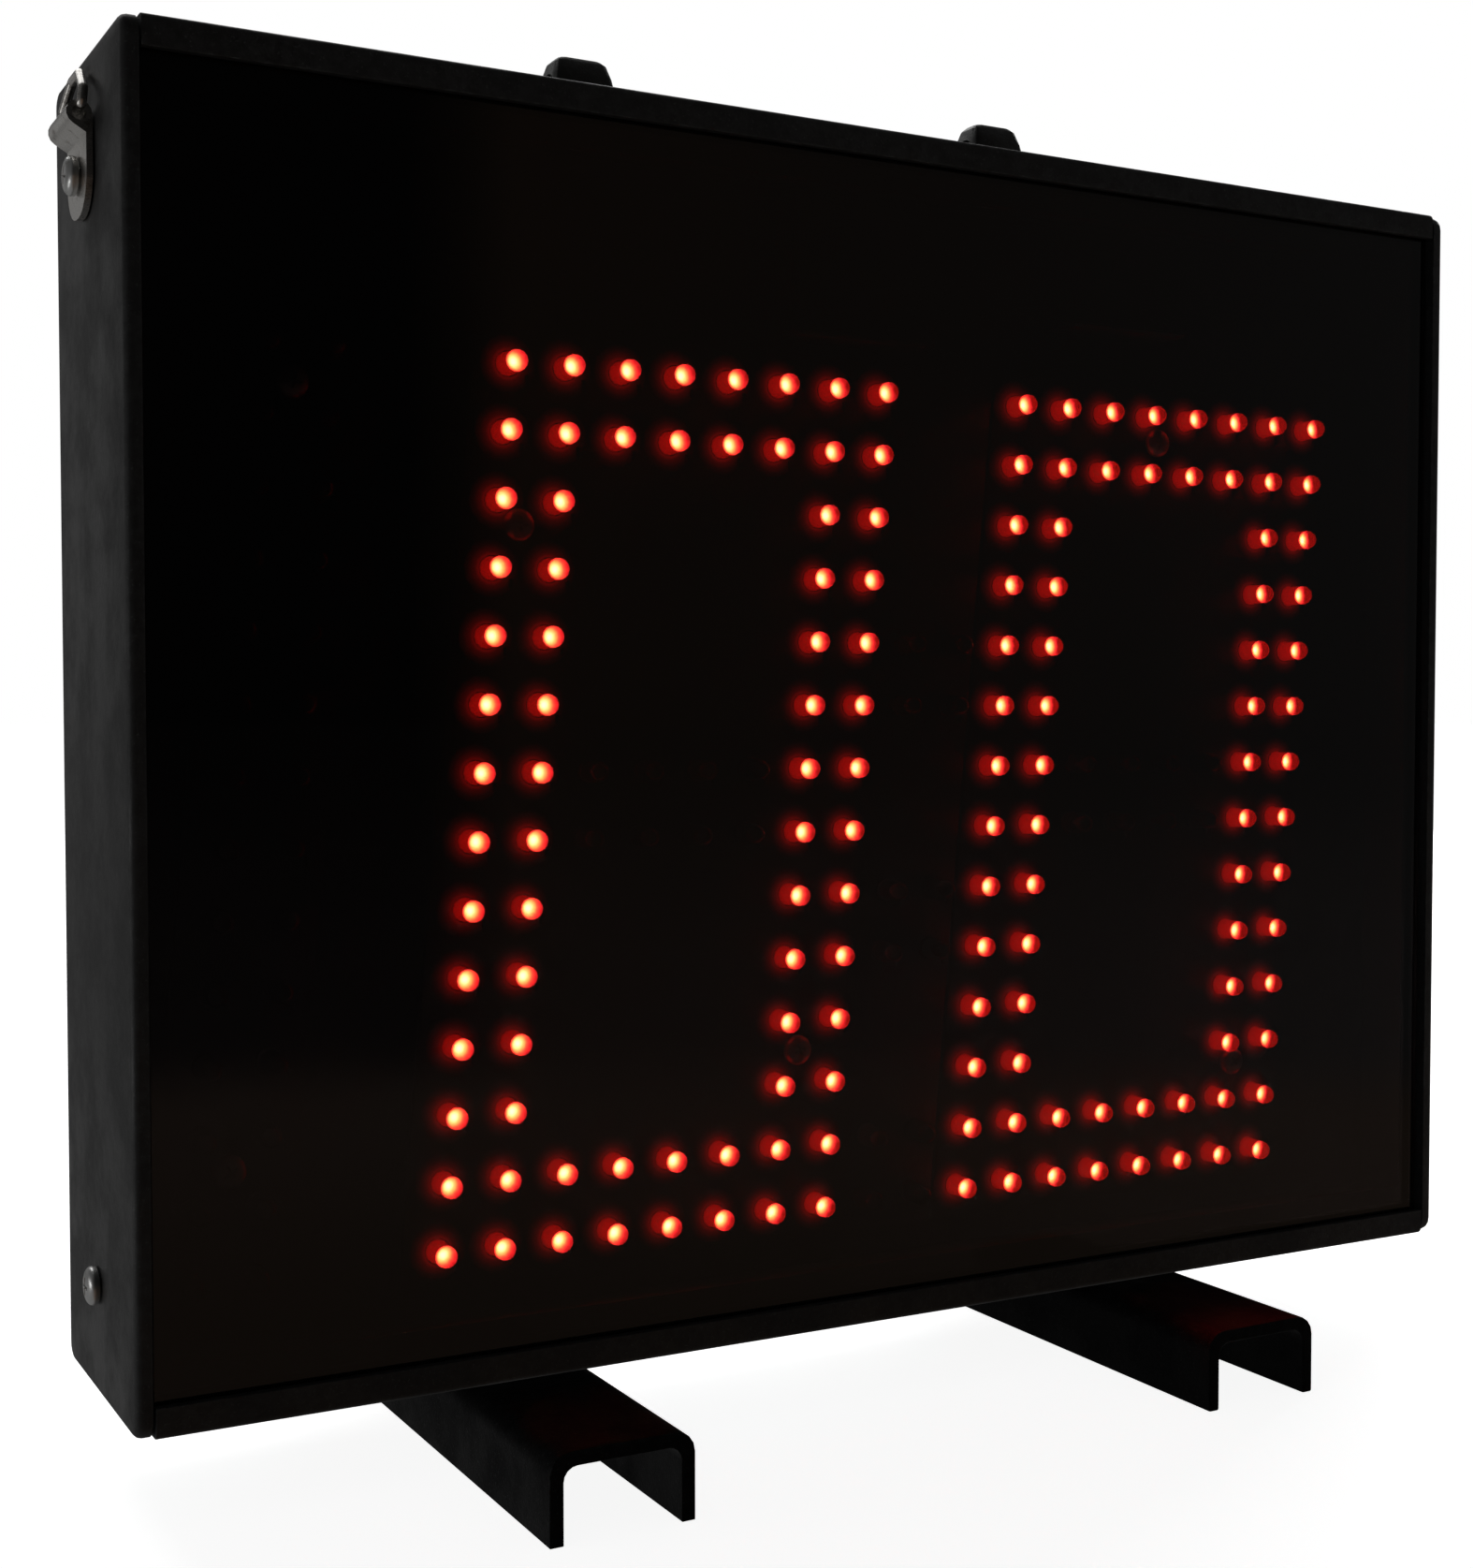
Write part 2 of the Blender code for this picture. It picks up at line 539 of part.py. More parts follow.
switch()
push_button("mode", MODE_X)
push_button("brightness", BRIGHTNESS_X)
inlet()

# ---------------------------------------------------------------- internal wiring
lead_y = electronics_front + 0.0130
wire("battery_lead", smooth_path([
    (0.0145, lead_y, BASE + 0.1200), (0.0060, lead_y + 0.0040, BASE + 0.1230),
    (-0.0060, lead_y + 0.0060, BASE + 0.1300), (-0.0180, lead_y + 0.0040, BASE + 0.1480),
    (-0.0350, lead_y, BASE + 0.1620), (-0.0460, lead_y - 0.0020, BASE + 0.1660)]), 0.0015, WIRE)
wire("inlet_lead", smooth_path([
    (INLET_X, BACK - 0.0146, CONTROL_Z), (INLET_X, BACK - 0.0220, CONTROL_Z + 0.0010),
    (INLET_X + 0.0020, BACK - 0.0250, CONTROL_Z + 0.0140),
    (INLET_X + 0.0030, BACK - 0.0240, CONTROL_Z + 0.0300),
    (INLET_X + 0.0040, BACK - 0.0235, CONTROL_Z + 0.0420)]), 0.0015, WIRE)
ribbon_mid = sum(RIBBON_SLOT) / 2
ribbon_outline = [
    (BOARD_FRONT + BOARD_T + 0.0010, RIBBON_Z - 0.0004), (electronics_front + 0.0120, RIBBON_Z - 0.0004),
    (electronics_front + 0.0120, RIBBON_Z + 0.0004), (BOARD_FRONT + BOARD_T + 0.0010, RIBBON_Z + 0.0004)]
prism("display_ribbon", ribbon_outline, "X", ribbon_mid - 0.0180, ribbon_mid + 0.0180, RIBBON)


# ---------------------------------------------------------------- feet
def foot(name, x, numbers):
    """An inverted channel under the box, held by two screws from below."""
    half, wall = FOOT_W / 2, FOOT_WALL
    web_top = FOOT_H - GAP
    outline = rounded(
        [(x - half, 0.0), (x - half, web_top), (x + half, web_top), (x + half, 0.0), (x + half - wall, 0.0),
         (x + half - wall, web_top - wall), (x - half + wall, web_top - wall), (x - half + wall, 0.0)],
        [0, FOOT_ROUND, FOOT_ROUND, 0, 0, FOOT_ROUND - wall / 2, FOOT_ROUND - wall / 2, 0])
    made = prism(name, outline, "Y", -FOOT_L / 2, FOOT_L / 2, POWDER, smooth=True)
    places = (-0.0160, 0.0160)
    boolean(made, "screw_holes", "DIFFERENCE",
            [(circle(x, y, HOLE_R), "Z", web_top - wall - 0.001, web_top + 0.001) for y in places])
    boolean(bottom_rail, f"{name}_holes", "DIFFERENCE",
            [(circle(x, y, HOLE_R), "Z", BASE - 0.001, BASE + RAIL_T + 0.001) for y in places])
    for number, y in zip(numbers, places):
        screw(f"foot_screw_{number}", (x, y, web_top - wall), (0, 0, -1), 0.0080)


foot("foot_left", FOOT_X[0], (1, 2))
foot("foot_right", FOOT_X[1], (3, 4))

# ---------------------------------------------------------------- folding handle
# The lug's outline at each height above the box: (height, width, depth)
BRACKET_SHAPE = ((GAP, 0.0168, 0.0150), (0.0016, 0.0168, 0.0150), (0.0105, 0.0146, 0.0102),
                 (0.0138, 0.0128, 0.0078), (0.0149, 0.0104, 0.0056))
BORE_R = BAIL_R + 0.00045


def handle_bracket(name, side, screw_name):
    """A tapered lug on the top rail, with the bail's bore across it and a screw from below."""
    x = CARRY_X + side * HANDLE_X
    bm = bmesh.new()
    add_rings(bm, [[Vector((px, py, TOP + height)) for px, py in rounded(
        rectangle(x - w / 2, HARDWARE_Y - d / 2, x + w / 2, HARDWARE_Y + d / 2), 0.0015, 2)]
        for height, w, d in BRACKET_SHAPE])
    made = finish(name, bm, POWDER, smooth=True)
    boolean(made, "bore", "DIFFERENCE", [
        (circle(HARDWARE_Y, TOP + PIVOT_H, BORE_R, 20), "X", x - 0.0120, x + 0.0120)])
    boolean(made, "screw_hole", "DIFFERENCE", [
        (circle(x, HARDWARE_Y, HOLE_R), "Z", TOP - 0.001, TOP + 0.0034)])
    boolean(top_rail, f"{name}_hole", "DIFFERENCE", [
        (circle(x, HARDWARE_Y, HOLE_R), "Z", TOP - RAIL_T - 0.001, TOP + 0.001)])
    screw(screw_name, (x, HARDWARE_Y, TOP - RAIL_T), (0, 0, -1), 0.0058, head_r=0.0035)


handle_bracket("handle_bracket_left", -1, "handle_screw_left")
handle_bracket("handle_bracket_right", 1, "handle_screw_right")

# The folded bail rests on the box's rear edge: its droop is the angle at which its arms meet it.
edge_reach = BACK - HARDWARE_Y
rest_distance = BAIL_R + GAP
bail_droop = math.acos(rest_distance / math.hypot(edge_reach, PIVOT_H)) - math.atan2(edge_reach, PIVOT_H)
bail_axis = pivot("handle_axis", (CARRY_X, HARDWARE_Y, TOP + PIVOT_H))
bail_axis.rotation_euler.x = -bail_droop
pin_end = HANDLE_X + 0.0060
bail = wire("handle_bail", bent_path(
    [(-pin_end, 0, 0), (-BAIL_ARM_X, 0, 0), (-BAIL_ARM_X, BAIL_REACH, 0), (BAIL_ARM_X, BAIL_REACH, 0),
     (BAIL_ARM_X, 0, 0), (pin_end, 0, 0)], BAIL_BEND, 5), BAIL_R, NICKEL, resolution=3)
grip = prism("handle_grip", circle(BAIL_REACH, 0, GRIP_R, 20), "X",
             -GRIP_HALF, GRIP_HALF, RUBBER, smooth=True)
boolean(grip, "bore", "DIFFERENCE", [
    (circle(BAIL_REACH, 0, BORE_R, 20), "X", -GRIP_HALF - 0.001, GRIP_HALF + 0.001)])
carry(bail_axis, bail, grip, grip.modifiers[0].object)


# ---------------------------------------------------------------- hanging straps and side screws
def hanger(label, side):
    """A strap folded round the straight bar of a ring, held to the end plate by one screw."""
    wall = BOX_W / 2 + GAP
    knuckle_x = wall + KNUCKLE_R
    knuckle = [(knuckle_x + KNUCKLE_R * math.cos(a), KNUCKLE + KNUCKLE_R * math.sin(a))
               for a in (math.radians(-60 + 240 * k / 10) for k in range(11))]
    profile = [(side * x, z) for x, z in (
        [(wall, STRAP_TIP), (wall + STRAP_T, STRAP_TIP), (wall + STRAP_T, KNUCKLE - 0.0038)] + knuckle)]
    strap = prism(f"{label}_strap", profile, "Y",
                  HARDWARE_Y - STRAP_W / 2, HARDWARE_Y + STRAP_W / 2, NICKEL, smooth=True)
    edge = STRAP_W / 2 + 0.0001
    tongue = rounded(rectangle(HARDWARE_Y - edge, STRAP_TIP, HARDWARE_Y + edge, KNUCKLE + 0.010),
                     [0.0085, 0.0085, 0, 0], 6)
    boolean(strap, "tongue", "INTERSECT", [(tongue, "X", side * (wall - 0.001), side * (wall + 0.012))])
    boolean(strap, "bores", "DIFFERENCE", [
        (circle(side * knuckle_x, KNUCKLE, RING_WIRE + 0.0005, 12), "Y",
         HARDWARE_Y - STRAP_W, HARDWARE_Y + STRAP_W)])
    boolean(strap, "screw_hole", "DIFFERENCE", [
        (circle(HARDWARE_Y, STRAP_SCREW, HOLE_R), "X", side * (wall - 0.001), side * (wall + 0.008))])
    screw(f"{label}_strap_screw", (side * (wall + STRAP_T), HARDWARE_Y, STRAP_SCREW), (side, 0, 0), 0.0100)
    screw(f"{label}_side_screw", (side * BOX_W / 2, HARDWARE_Y, SIDE_SCREW), (side, 0, 0), 0.0080)
    axis = pivot(f"{label}_ring_axis", (side * knuckle_x, HARDWARE_Y, KNUCKLE))
    axis.rotation_euler.y = -side * RING_LEAN
    path = rounded([(-RING_HALF, 0.0), (RING_HALF, 0.0), (RING_HALF, RING_SHOULDER), (RING_TOP, RING_RISE),
                    (-RING_TOP, RING_RISE), (-RING_HALF, RING_SHOULDER)],
                   [0.0025, 0.0025, 0.0030, 0.0030, 0.0030, 0.0030], 4)
    ring = wire(f"{label}_ring", [(0.0, y, z) for y, z in path], RING_WIRE, NICKEL, closed=True)
    carry(axis, ring)


hanger("left", -1)
hanger("right", 1)
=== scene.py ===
# %% [markdown]
# # A free-standing LED speed display
# The display is a flat black box on two channel feet, with a dark window and big red figures.
# Its solid model is already packed: every piece there has its right size and place.
# This lesson loads that model as a fixed frame and gives each piece the surface and the fine
# shape that the real one has. Nothing of the frame is moved or resized.

# %% Load the fixed frame
import json
import math

import bmesh
import bpy
from mathutils import Matrix, Vector


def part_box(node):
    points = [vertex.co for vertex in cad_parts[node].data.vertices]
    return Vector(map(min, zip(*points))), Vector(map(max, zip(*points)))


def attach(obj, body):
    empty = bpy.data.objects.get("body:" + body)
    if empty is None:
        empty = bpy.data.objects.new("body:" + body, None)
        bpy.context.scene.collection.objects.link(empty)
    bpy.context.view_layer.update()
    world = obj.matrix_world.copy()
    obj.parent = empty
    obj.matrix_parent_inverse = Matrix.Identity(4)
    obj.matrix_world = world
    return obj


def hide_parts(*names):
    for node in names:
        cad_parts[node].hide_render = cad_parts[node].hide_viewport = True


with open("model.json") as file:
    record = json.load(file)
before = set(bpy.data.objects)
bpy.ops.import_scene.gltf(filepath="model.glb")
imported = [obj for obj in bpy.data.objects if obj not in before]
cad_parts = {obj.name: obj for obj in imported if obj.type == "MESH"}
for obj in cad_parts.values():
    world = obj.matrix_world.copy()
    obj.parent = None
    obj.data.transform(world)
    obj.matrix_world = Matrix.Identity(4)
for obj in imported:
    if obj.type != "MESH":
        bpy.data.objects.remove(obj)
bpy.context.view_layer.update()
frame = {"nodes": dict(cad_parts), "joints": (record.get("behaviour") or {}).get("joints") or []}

nodes = frame["nodes"]
joints = {joint["name"]: joint for joint in frame["joints"]}

# %% [markdown]
# ## Measures
# All places come from the frame, so a piece made here sits exactly where its solid does.
# The figures stand on a slanted grid. The tens board ends 9.47 columns to the right of the first
# LED and 8 mm above it, so its upper right corner gives the grid's own corner.

# %% Measures of the box and of the LED grid
MM = 0.001
box_low, box_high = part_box("left_end_plate")[0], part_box("right_end_plate")[1]
COLUMN_PITCH, ROW_PITCH, ROWS, SLANT = 13.7 * MM, 15.0 * MM, 14, 0.0891
BOARD_EDGE = 8 * MM  # how far a board stands past its outer rows
TENS_LAST_EDGE = 9.47  # in columns
board_low, board_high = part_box("tens_board")
grid_z = board_high.z - BOARD_EDGE
grid_x = board_high.x - TENS_LAST_EDGE * COLUMN_PITCH - BOARD_EDGE * SLANT
BOARD_T = 1.6 * MM
led_tip_y, board_y = board_low.y, board_high.y - BOARD_T
print("box", [round(v / MM, 1) for v in box_high - box_low], "mm")
print("LED tips at y", round(led_tip_y / MM, 1), "mm")


def led_place(column, row):
    """The x and z of an LED. Column 0, row 0 is the tens figure's top left one."""
    z = grid_z - row * ROW_PITCH
    return grid_x + column * COLUMN_PITCH + (z - grid_z) * SLANT, z


# %% [markdown]
# ## Camera
# The camera stands left of the display, level with the middle of the box, and looks to the right.
# It stands close, so the edges of the box converge strongly. A small shift frames the object.

# %% Camera
CAMERA_PLACE = Vector((-269.7, -451.2, 163.5)) * MM
CAMERA_YAW, CAMERA_PITCH = math.radians(28.87), math.radians(-2.12)
CAMERA_LENS, CAMERA_SHIFT = 48.44, (-0.0091, 0.0039)
camera_data = bpy.data.cameras.new("camera")
camera_data.lens = CAMERA_LENS
camera_data.shift_x, camera_data.shift_y = CAMERA_SHIFT
camera_data.clip_start = 10 * MM
camera = bpy.data.objects.new("camera", camera_data)
camera.location = CAMERA_PLACE
camera.rotation_euler = (math.pi / 2 + CAMERA_PITCH, 0.0, -CAMERA_YAW)
bpy.context.scene.collection.objects.link(camera)
bpy.context.scene.camera = camera
bpy.context.scene.view_settings.view_transform = "Standard"
print("camera at", [round(v, 3) for v in camera.location])

# %% [markdown]
# ## Studio
# A black object is drawn by what it reflects, so the lights are few, large and soft.
# Its front faces away from all of them and stays dark, which lets the red figures glow.
# The floor and the world are white to the camera only. To a mirror the world is a dim room: it is
# light on the left and behind, has a dark corner straight ahead of the window and a faint warm
# table top low down. The window shows that room as a few soft steps of grey.

# %% Floor, world and lights
def link(tree, output, target):
    tree.links.new(output, target)


def add_node(tree, kind, **settings):
    made = tree.nodes.new(kind)
    for name, value in settings.items():
        setattr(made, name, value)
    return made


def math_node(tree, operation, first, second=None, clamp=False):
    made = add_node(tree, "ShaderNodeMath", operation=operation, use_clamp=clamp)
    for socket, value in zip(made.inputs, (first, second)):
        if isinstance(value, bpy.types.NodeSocket):
            link(tree, value, socket)
        elif value is not None:
            socket.default_value = value
    return made.outputs[0]


def smooth_step(tree, value, low, high):
    made = add_node(tree, "ShaderNodeMapRange", interpolation_type="SMOOTHSTEP")
    link(tree, value, made.inputs["Value"])
    made.inputs["From Min"].default_value = low
    made.inputs["From Max"].default_value = high
    return made.outputs["Result"]


def color_ramp(tree, value, stops):
    """A colour from a value. The stops are (value, colour) from low to high."""
    made = add_node(tree, "ShaderNodeValToRGB")
    marks = made.color_ramp.elements
    marks.remove(marks[1])
    marks[0].position, marks[0].color = stops[0][0], (*stops[0][1], 1)
    for position, color in stops[1:]:
        marks.new(position).color = (*color, 1)
    link(tree, value, made.inputs["Fac"])
    return made.outputs["Color"]


FLOOR_R, GLOW_FROM, GLOW_TO = 30.0, 0.5, 2.2


def make_floor(near_glow, far_glow):
    """White paper. Its own glow is for the camera only, and grows outwards to hide the horizon."""
    bm = bmesh.new()
    bmesh.ops.create_circle(bm, cap_ends=True, segments=64, radius=FLOOR_R)
    mesh = bpy.data.meshes.new("floor")
    bm.to_mesh(mesh)
    bm.free()
    made = bpy.data.materials.new("floor_paper")
    made.use_nodes = True
    tree = made.node_tree
    shader = tree.nodes["Principled BSDF"]
    shader.inputs["Base Color"].default_value = (0.86, 0.86, 0.86, 1)
    shader.inputs["Roughness"].default_value = 0.9
    shader.inputs["Specular IOR Level"].default_value = 0.1
    lift = add_node(tree, "ShaderNodeEmission")
    both = add_node(tree, "ShaderNodeAddShader")
    path = add_node(tree, "ShaderNodeLightPath")
    distance = add_node(tree, "ShaderNodeVectorMath", operation="LENGTH")
    link(tree, add_node(tree, "ShaderNodeTexCoord").outputs["Object"], distance.inputs[0])
    glow = add_node(tree, "ShaderNodeMapRange", interpolation_type="SMOOTHSTEP")
    link(tree, distance.outputs["Value"], glow.inputs["Value"])
    for label, value in (("From Min", GLOW_FROM), ("From Max", GLOW_TO),
                         ("To Min", near_glow), ("To Max", far_glow)):
        glow.inputs[label].default_value = value
    strength = math_node(tree, "MULTIPLY", path.outputs["Is Camera Ray"], glow.outputs["Result"])
    link(tree, strength, lift.inputs["Strength"])
    link(tree, shader.outputs[0], both.inputs[0])
    link(tree, lift.outputs[0], both.inputs[1])
    link(tree, both.outputs[0], tree.nodes["Material Output"].inputs["Surface"])
    mesh.materials.append(made)
    floor = bpy.data.objects.new("floor", mesh)
    floor.visible_glossy = False
    bpy.context.scene.collection.objects.link(floor)


def turn_stop(degrees, brightness, tint=(1, 1, 1)):
    """A step of the mirrored room. The angle is 0 straight ahead of the window, and grows rightwards."""
    return degrees / 360 + 0.5, tuple(brightness * v for v in tint)


WARM = (1.0, 0.72, 0.54)
TABLE_FROM, TABLE_TO = -0.150, -0.185  # the height of a direction at which the room ends


def make_world(seen, light):
    """White to the camera, weak light on surfaces, and a dim room with a table top to a mirror."""
    world = bpy.data.worlds.new("studio")
    world.use_nodes = True
    tree = world.node_tree
    tree.nodes.clear()
    direction = add_node(tree, "ShaderNodeSeparateXYZ")
    link(tree, add_node(tree, "ShaderNodeTexCoord").outputs["Generated"], direction.inputs[0])
    ahead = math_node(tree, "MULTIPLY", direction.outputs["Y"], -1.0)
    turn = math_node(tree, "ARCTAN2", direction.outputs["X"], ahead)
    turn = math_node(tree, "ADD", math_node(tree, "DIVIDE", turn, math.tau), 0.5)
    room = color_ramp(tree, turn, [
        turn_stop(-180, 0.10), turn_stop(-62, 0.08), turn_stop(-34, 0.012), turn_stop(20.5, 0.012),
        turn_stop(22.0, 0.066, WARM), turn_stop(48, 0.058), turn_stop(80, 0.07), turn_stop(120, 0.12)])
    table = color_ramp(tree, turn, [
        turn_stop(-180, 0.22), turn_stop(-62, 0.20), turn_stop(-34, 0.105, WARM),
        turn_stop(50, 0.095, WARM), turn_stop(110, 0.12)])
    mirrored = add_node(tree, "ShaderNodeMix", data_type="RGBA")
    below = smooth_step(tree, direction.outputs["Z"], TABLE_FROM, TABLE_TO)
    link(tree, below, mirrored.inputs["Factor"])
    link(tree, room, mirrored.inputs[6])
    link(tree, table, mirrored.inputs[7])
    path = add_node(tree, "ShaderNodeLightPath")
    backgrounds = [add_node(tree, "ShaderNodeBackground") for _ in range(3)]
    backgrounds[0].inputs["Color"].default_value = (light, light, light, 1)
    link(tree, mirrored.outputs[2], backgrounds[1].inputs["Color"])
    backgrounds[2].inputs["Color"].default_value = (seen, seen, seen, 1)
    result = backgrounds[0].outputs[0]
    for ray, background in (("Is Glossy Ray", backgrounds[1]), ("Is Camera Ray", backgrounds[2])):
        mix = add_node(tree, "ShaderNodeMixShader")
        link(tree, path.outputs[ray], mix.inputs["Fac"])
        link(tree, result, mix.inputs[1])
        link(tree, background.outputs[0], mix.inputs[2])
        result = mix.outputs[0]
    link(tree, result, add_node(tree, "ShaderNodeOutputWorld").inputs["Surface"])
    bpy.context.scene.world = world


def softbox(name, place, target, size, power, color=(1, 1, 1), spread=180):
    data = bpy.data.lights.new(name, "AREA")
    data.shape = "RECTANGLE"
    data.size, data.size_y = size
    data.energy = power
    data.color = color
    data.spread = math.radians(spread)
    made = bpy.data.objects.new(name, data)
    made.location = place
    made.rotation_euler = (Vector(target) - Vector(place)).to_track_quat("-Z", "Y").to_euler()
    made.visible_camera = False
    bpy.context.scene.collection.objects.link(made)
    return made


make_floor(near_glow=0.91, far_glow=1.0)
make_world(seen=1.0, light=0.05)
softbox("left_softbox", (-0.95, 1.9, 0.55), (0, 0, 0.15), (1.0, 0.9), 0.42)
softbox("low_left_softbox", (-0.75, 0.10, 0.06), (-0.18, 0, 0.02), (0.3, 0.1), 0.34)
softbox("overhead_softbox", (0.2, 1.9, 2.1), (0, 0.1, 0.1), (2.4, 1.5), 24)
softbox("rear_softbox", (1.8, 1.5, 0.9), (0, 0, 0.15), (1.4, 1.2), 34)

# %% [markdown]
# The lit figures throw a little red light forwards, which shows on the front ends of the feet.
# One weak red light just in front of the window stands for all of those beams together. It is
# linked to a collection, which the feet join later, so it tints nothing else.

# %% Red light from the figures
figures_middle = Vector(((box_low.x + box_high.x) / 2 + 30 * MM, box_low.y - 1.5 * MM, 132 * MM))
figures_light = softbox("figures_light", figures_middle, figures_middle + Vector((0, -1, 0)),
                        (170 * MM, 190 * MM), 1.3, color=(1.0, 0.012, 0.006), spread=84)
figures_light.visible_glossy = figures_light.visible_transmission = False
lit_by_figures = bpy.data.collections.new("lit_by_figures")
figures_light.light_linking.receiver_collection = lit_by_figures
print("red light at", [round(v, 3) for v in figures_middle])

# %% [markdown]
# ## Shared surface effects
# Three effects turn up on many pieces: a fine grain, worn edges and settled dust.
# Each is a shader group with its own inputs, so a finish only says how much of it there is.
# The groups put out masks and heights, and the finishes feed them to their own shader.

# %% Shader groups: grain, edge wear and dust
def new_group(name, inputs, outputs):
    group = bpy.data.node_groups.new(name, "ShaderNodeTree")
    for label, kind, value in inputs:
        made = group.interface.new_socket(label, in_out="INPUT", socket_type=kind)
        if value is not None:
            made.default_value = value
    for label, kind in outputs:
        group.interface.new_socket(label, in_out="OUTPUT", socket_type=kind)
    return group, add_node(group, "NodeGroupInput"), add_node(group, "NodeGroupOutput")


def noise(tree, vector, scale, detail=2.0, roughness=0.5):
    made = add_node(tree, "ShaderNodeTexNoise")
    made.inputs["Detail"].default_value = detail
    made.inputs["Roughness"].default_value = roughness
    link(tree, vector, made.inputs["Vector"])
    if isinstance(scale, bpy.types.NodeSocket):
        link(tree, scale, made.inputs["Scale"])
    else:
        made.inputs["Scale"].default_value = scale
    return made.outputs["Fac"]


def make_grain_group():
    """Orange-peel grain: a height for the bump, a slow mottle and a mask of light specks."""
    group, start, end = new_group(
        "fine_grain",
        [("Vector", "NodeSocketVector", None), ("Grain Scale", "NodeSocketFloat", 1600.0),
         ("Mottle Scale", "NodeSocketFloat", 220.0)],
        [("Height", "NodeSocketFloat"), ("Mottle", "NodeSocketFloat"), ("Specks", "NodeSocketFloat")])
    fine = noise(group, start.outputs["Vector"], start.outputs["Grain Scale"], 3.0, 0.6)
    slow = noise(group, start.outputs["Vector"], start.outputs["Mottle Scale"], 4.0, 0.65)
    swell = math_node(group, "MULTIPLY", slow, 0.8)
    link(group, math_node(group, "ADD", fine, swell), end.inputs["Height"])
    link(group, slow, end.inputs["Mottle"])
    link(group, smooth_step(group, fine, 0.60, 0.74), end.inputs["Specks"])
    return group


def make_wear_group():
    """A mask that is 1 on sharp edges, broken up by noise."""
    group, start, end = new_group(
        "edge_wear",
        [("Vector", "NodeSocketVector", None), ("Width", "NodeSocketFloat", 0.0008),
         ("Breakup Scale", "NodeSocketFloat", 300.0)],
        [("Mask", "NodeSocketFloat")])
    rounded = add_node(group, "ShaderNodeBevel", samples=4)
    link(group, start.outputs["Width"], rounded.inputs["Radius"])
    surface = add_node(group, "ShaderNodeNewGeometry")
    dot = add_node(group, "ShaderNodeVectorMath", operation="DOT_PRODUCT")
    link(group, rounded.outputs["Normal"], dot.inputs[0])
    link(group, surface.outputs["Normal"], dot.inputs[1])
    turned_away = math_node(group, "SUBTRACT", 1.0, dot.outputs["Value"])
    edge = math_node(group, "MULTIPLY", turned_away, 9.0, clamp=True)
    flecks = noise(group, start.outputs["Vector"], start.outputs["Breakup Scale"], 4.0, 0.7)
    broken = smooth_step(group, flecks, 0.46, 0.66)
    link(group, math_node(group, "MULTIPLY", edge, broken), end.inputs["Mask"])
    return group


def make_dust_group():
    """A mask of dust, thickest on faces that look up."""
    group, start, end = new_group(
        "settled_dust",
        [("Vector", "NodeSocketVector", None), ("Amount", "NodeSocketFloat", 0.5)],
        [("Mask", "NodeSocketFloat")])
    surface = add_node(group, "ShaderNodeNewGeometry")
    split = add_node(group, "ShaderNodeSeparateXYZ")
    link(group, surface.outputs["Normal"], split.inputs[0])
    upward = smooth_step(group, split.outputs["Z"], 0.2, 1.0)
    patches = smooth_step(group, noise(group, start.outputs["Vector"], 60.0, 5.0, 0.7), 0.35, 0.75)
    lying = math_node(group, "MULTIPLY", upward, patches)
    link(group, math_node(group, "MULTIPLY", lying, start.outputs["Amount"]), end.inputs["Mask"])
    return group


GRAIN, WEAR, DUST = make_grain_group(), make_wear_group(), make_dust_group()
print("shader groups:", GRAIN.name, WEAR.name, DUST.name)

# %% [markdown]
# ## Finishes
# A finish starts as one principled shader with its constant values on its own sockets.
# Helpers then place the groups above. Colours vary a little over each surface, because a single
# flat colour looks like a drawing and not like a thing.

# %% Helpers for finishes
def new_finish(name, color, roughness, metallic=0.0, **extra):
    """A material, its tree, its shader and a socket with the object's own coordinates."""
    made = bpy.data.materials.new(name)
    made.use_nodes = True
    tree = made.node_tree
    shader = tree.nodes["Principled BSDF"]
    shader.inputs["Base Color"].default_value = (*color, 1)
    shader.inputs["Roughness"].default_value = roughness
    shader.inputs["Metallic"].default_value = metallic
    for label, value in extra.items():
        shader.inputs[label.replace("_", " ").title().replace("Ior", "IOR")].default_value = value
    return made, tree, shader, add_node(tree, "ShaderNodeTexCoord").outputs["Object"]


def add_group(tree, group, vector, **values):
    made = add_node(tree, "ShaderNodeGroup", node_tree=group)
    link(tree, vector, made.inputs["Vector"])
    for label, value in values.items():
        made.inputs[label.replace("_", " ").title()].default_value = value
    return made


def mixed(tree, mask, first, second):
    """A colour that goes from first to second with the mask. Each is a colour or a socket."""
    made = add_node(tree, "ShaderNodeMix", data_type="RGBA")
    link(tree, mask, made.inputs["Factor"])
    for socket, value in ((made.inputs[6], first), (made.inputs[7], second)):
        if isinstance(value, bpy.types.NodeSocket):
            link(tree, value, socket)
        else:
            socket.default_value = (*value, 1)
    return made.outputs[2]


def ranged(tree, value, low, high):
    """A value from 0 to 1 put between low and high, for a roughness or a weight."""
    made = add_node(tree, "ShaderNodeMapRange")
    link(tree, value, made.inputs["Value"])
    made.inputs["To Min"].default_value = low
    made.inputs["To Max"].default_value = high
    return made.outputs["Result"]


def bump(tree, shader, height, distance, strength=1.0):
    made = add_node(tree, "ShaderNodeBump")
    made.inputs["Distance"].default_value = distance
    made.inputs["Strength"].default_value = strength
    link(tree, height, made.inputs["Height"])
    link(tree, made.outputs["Normal"], shader.inputs["Normal"])
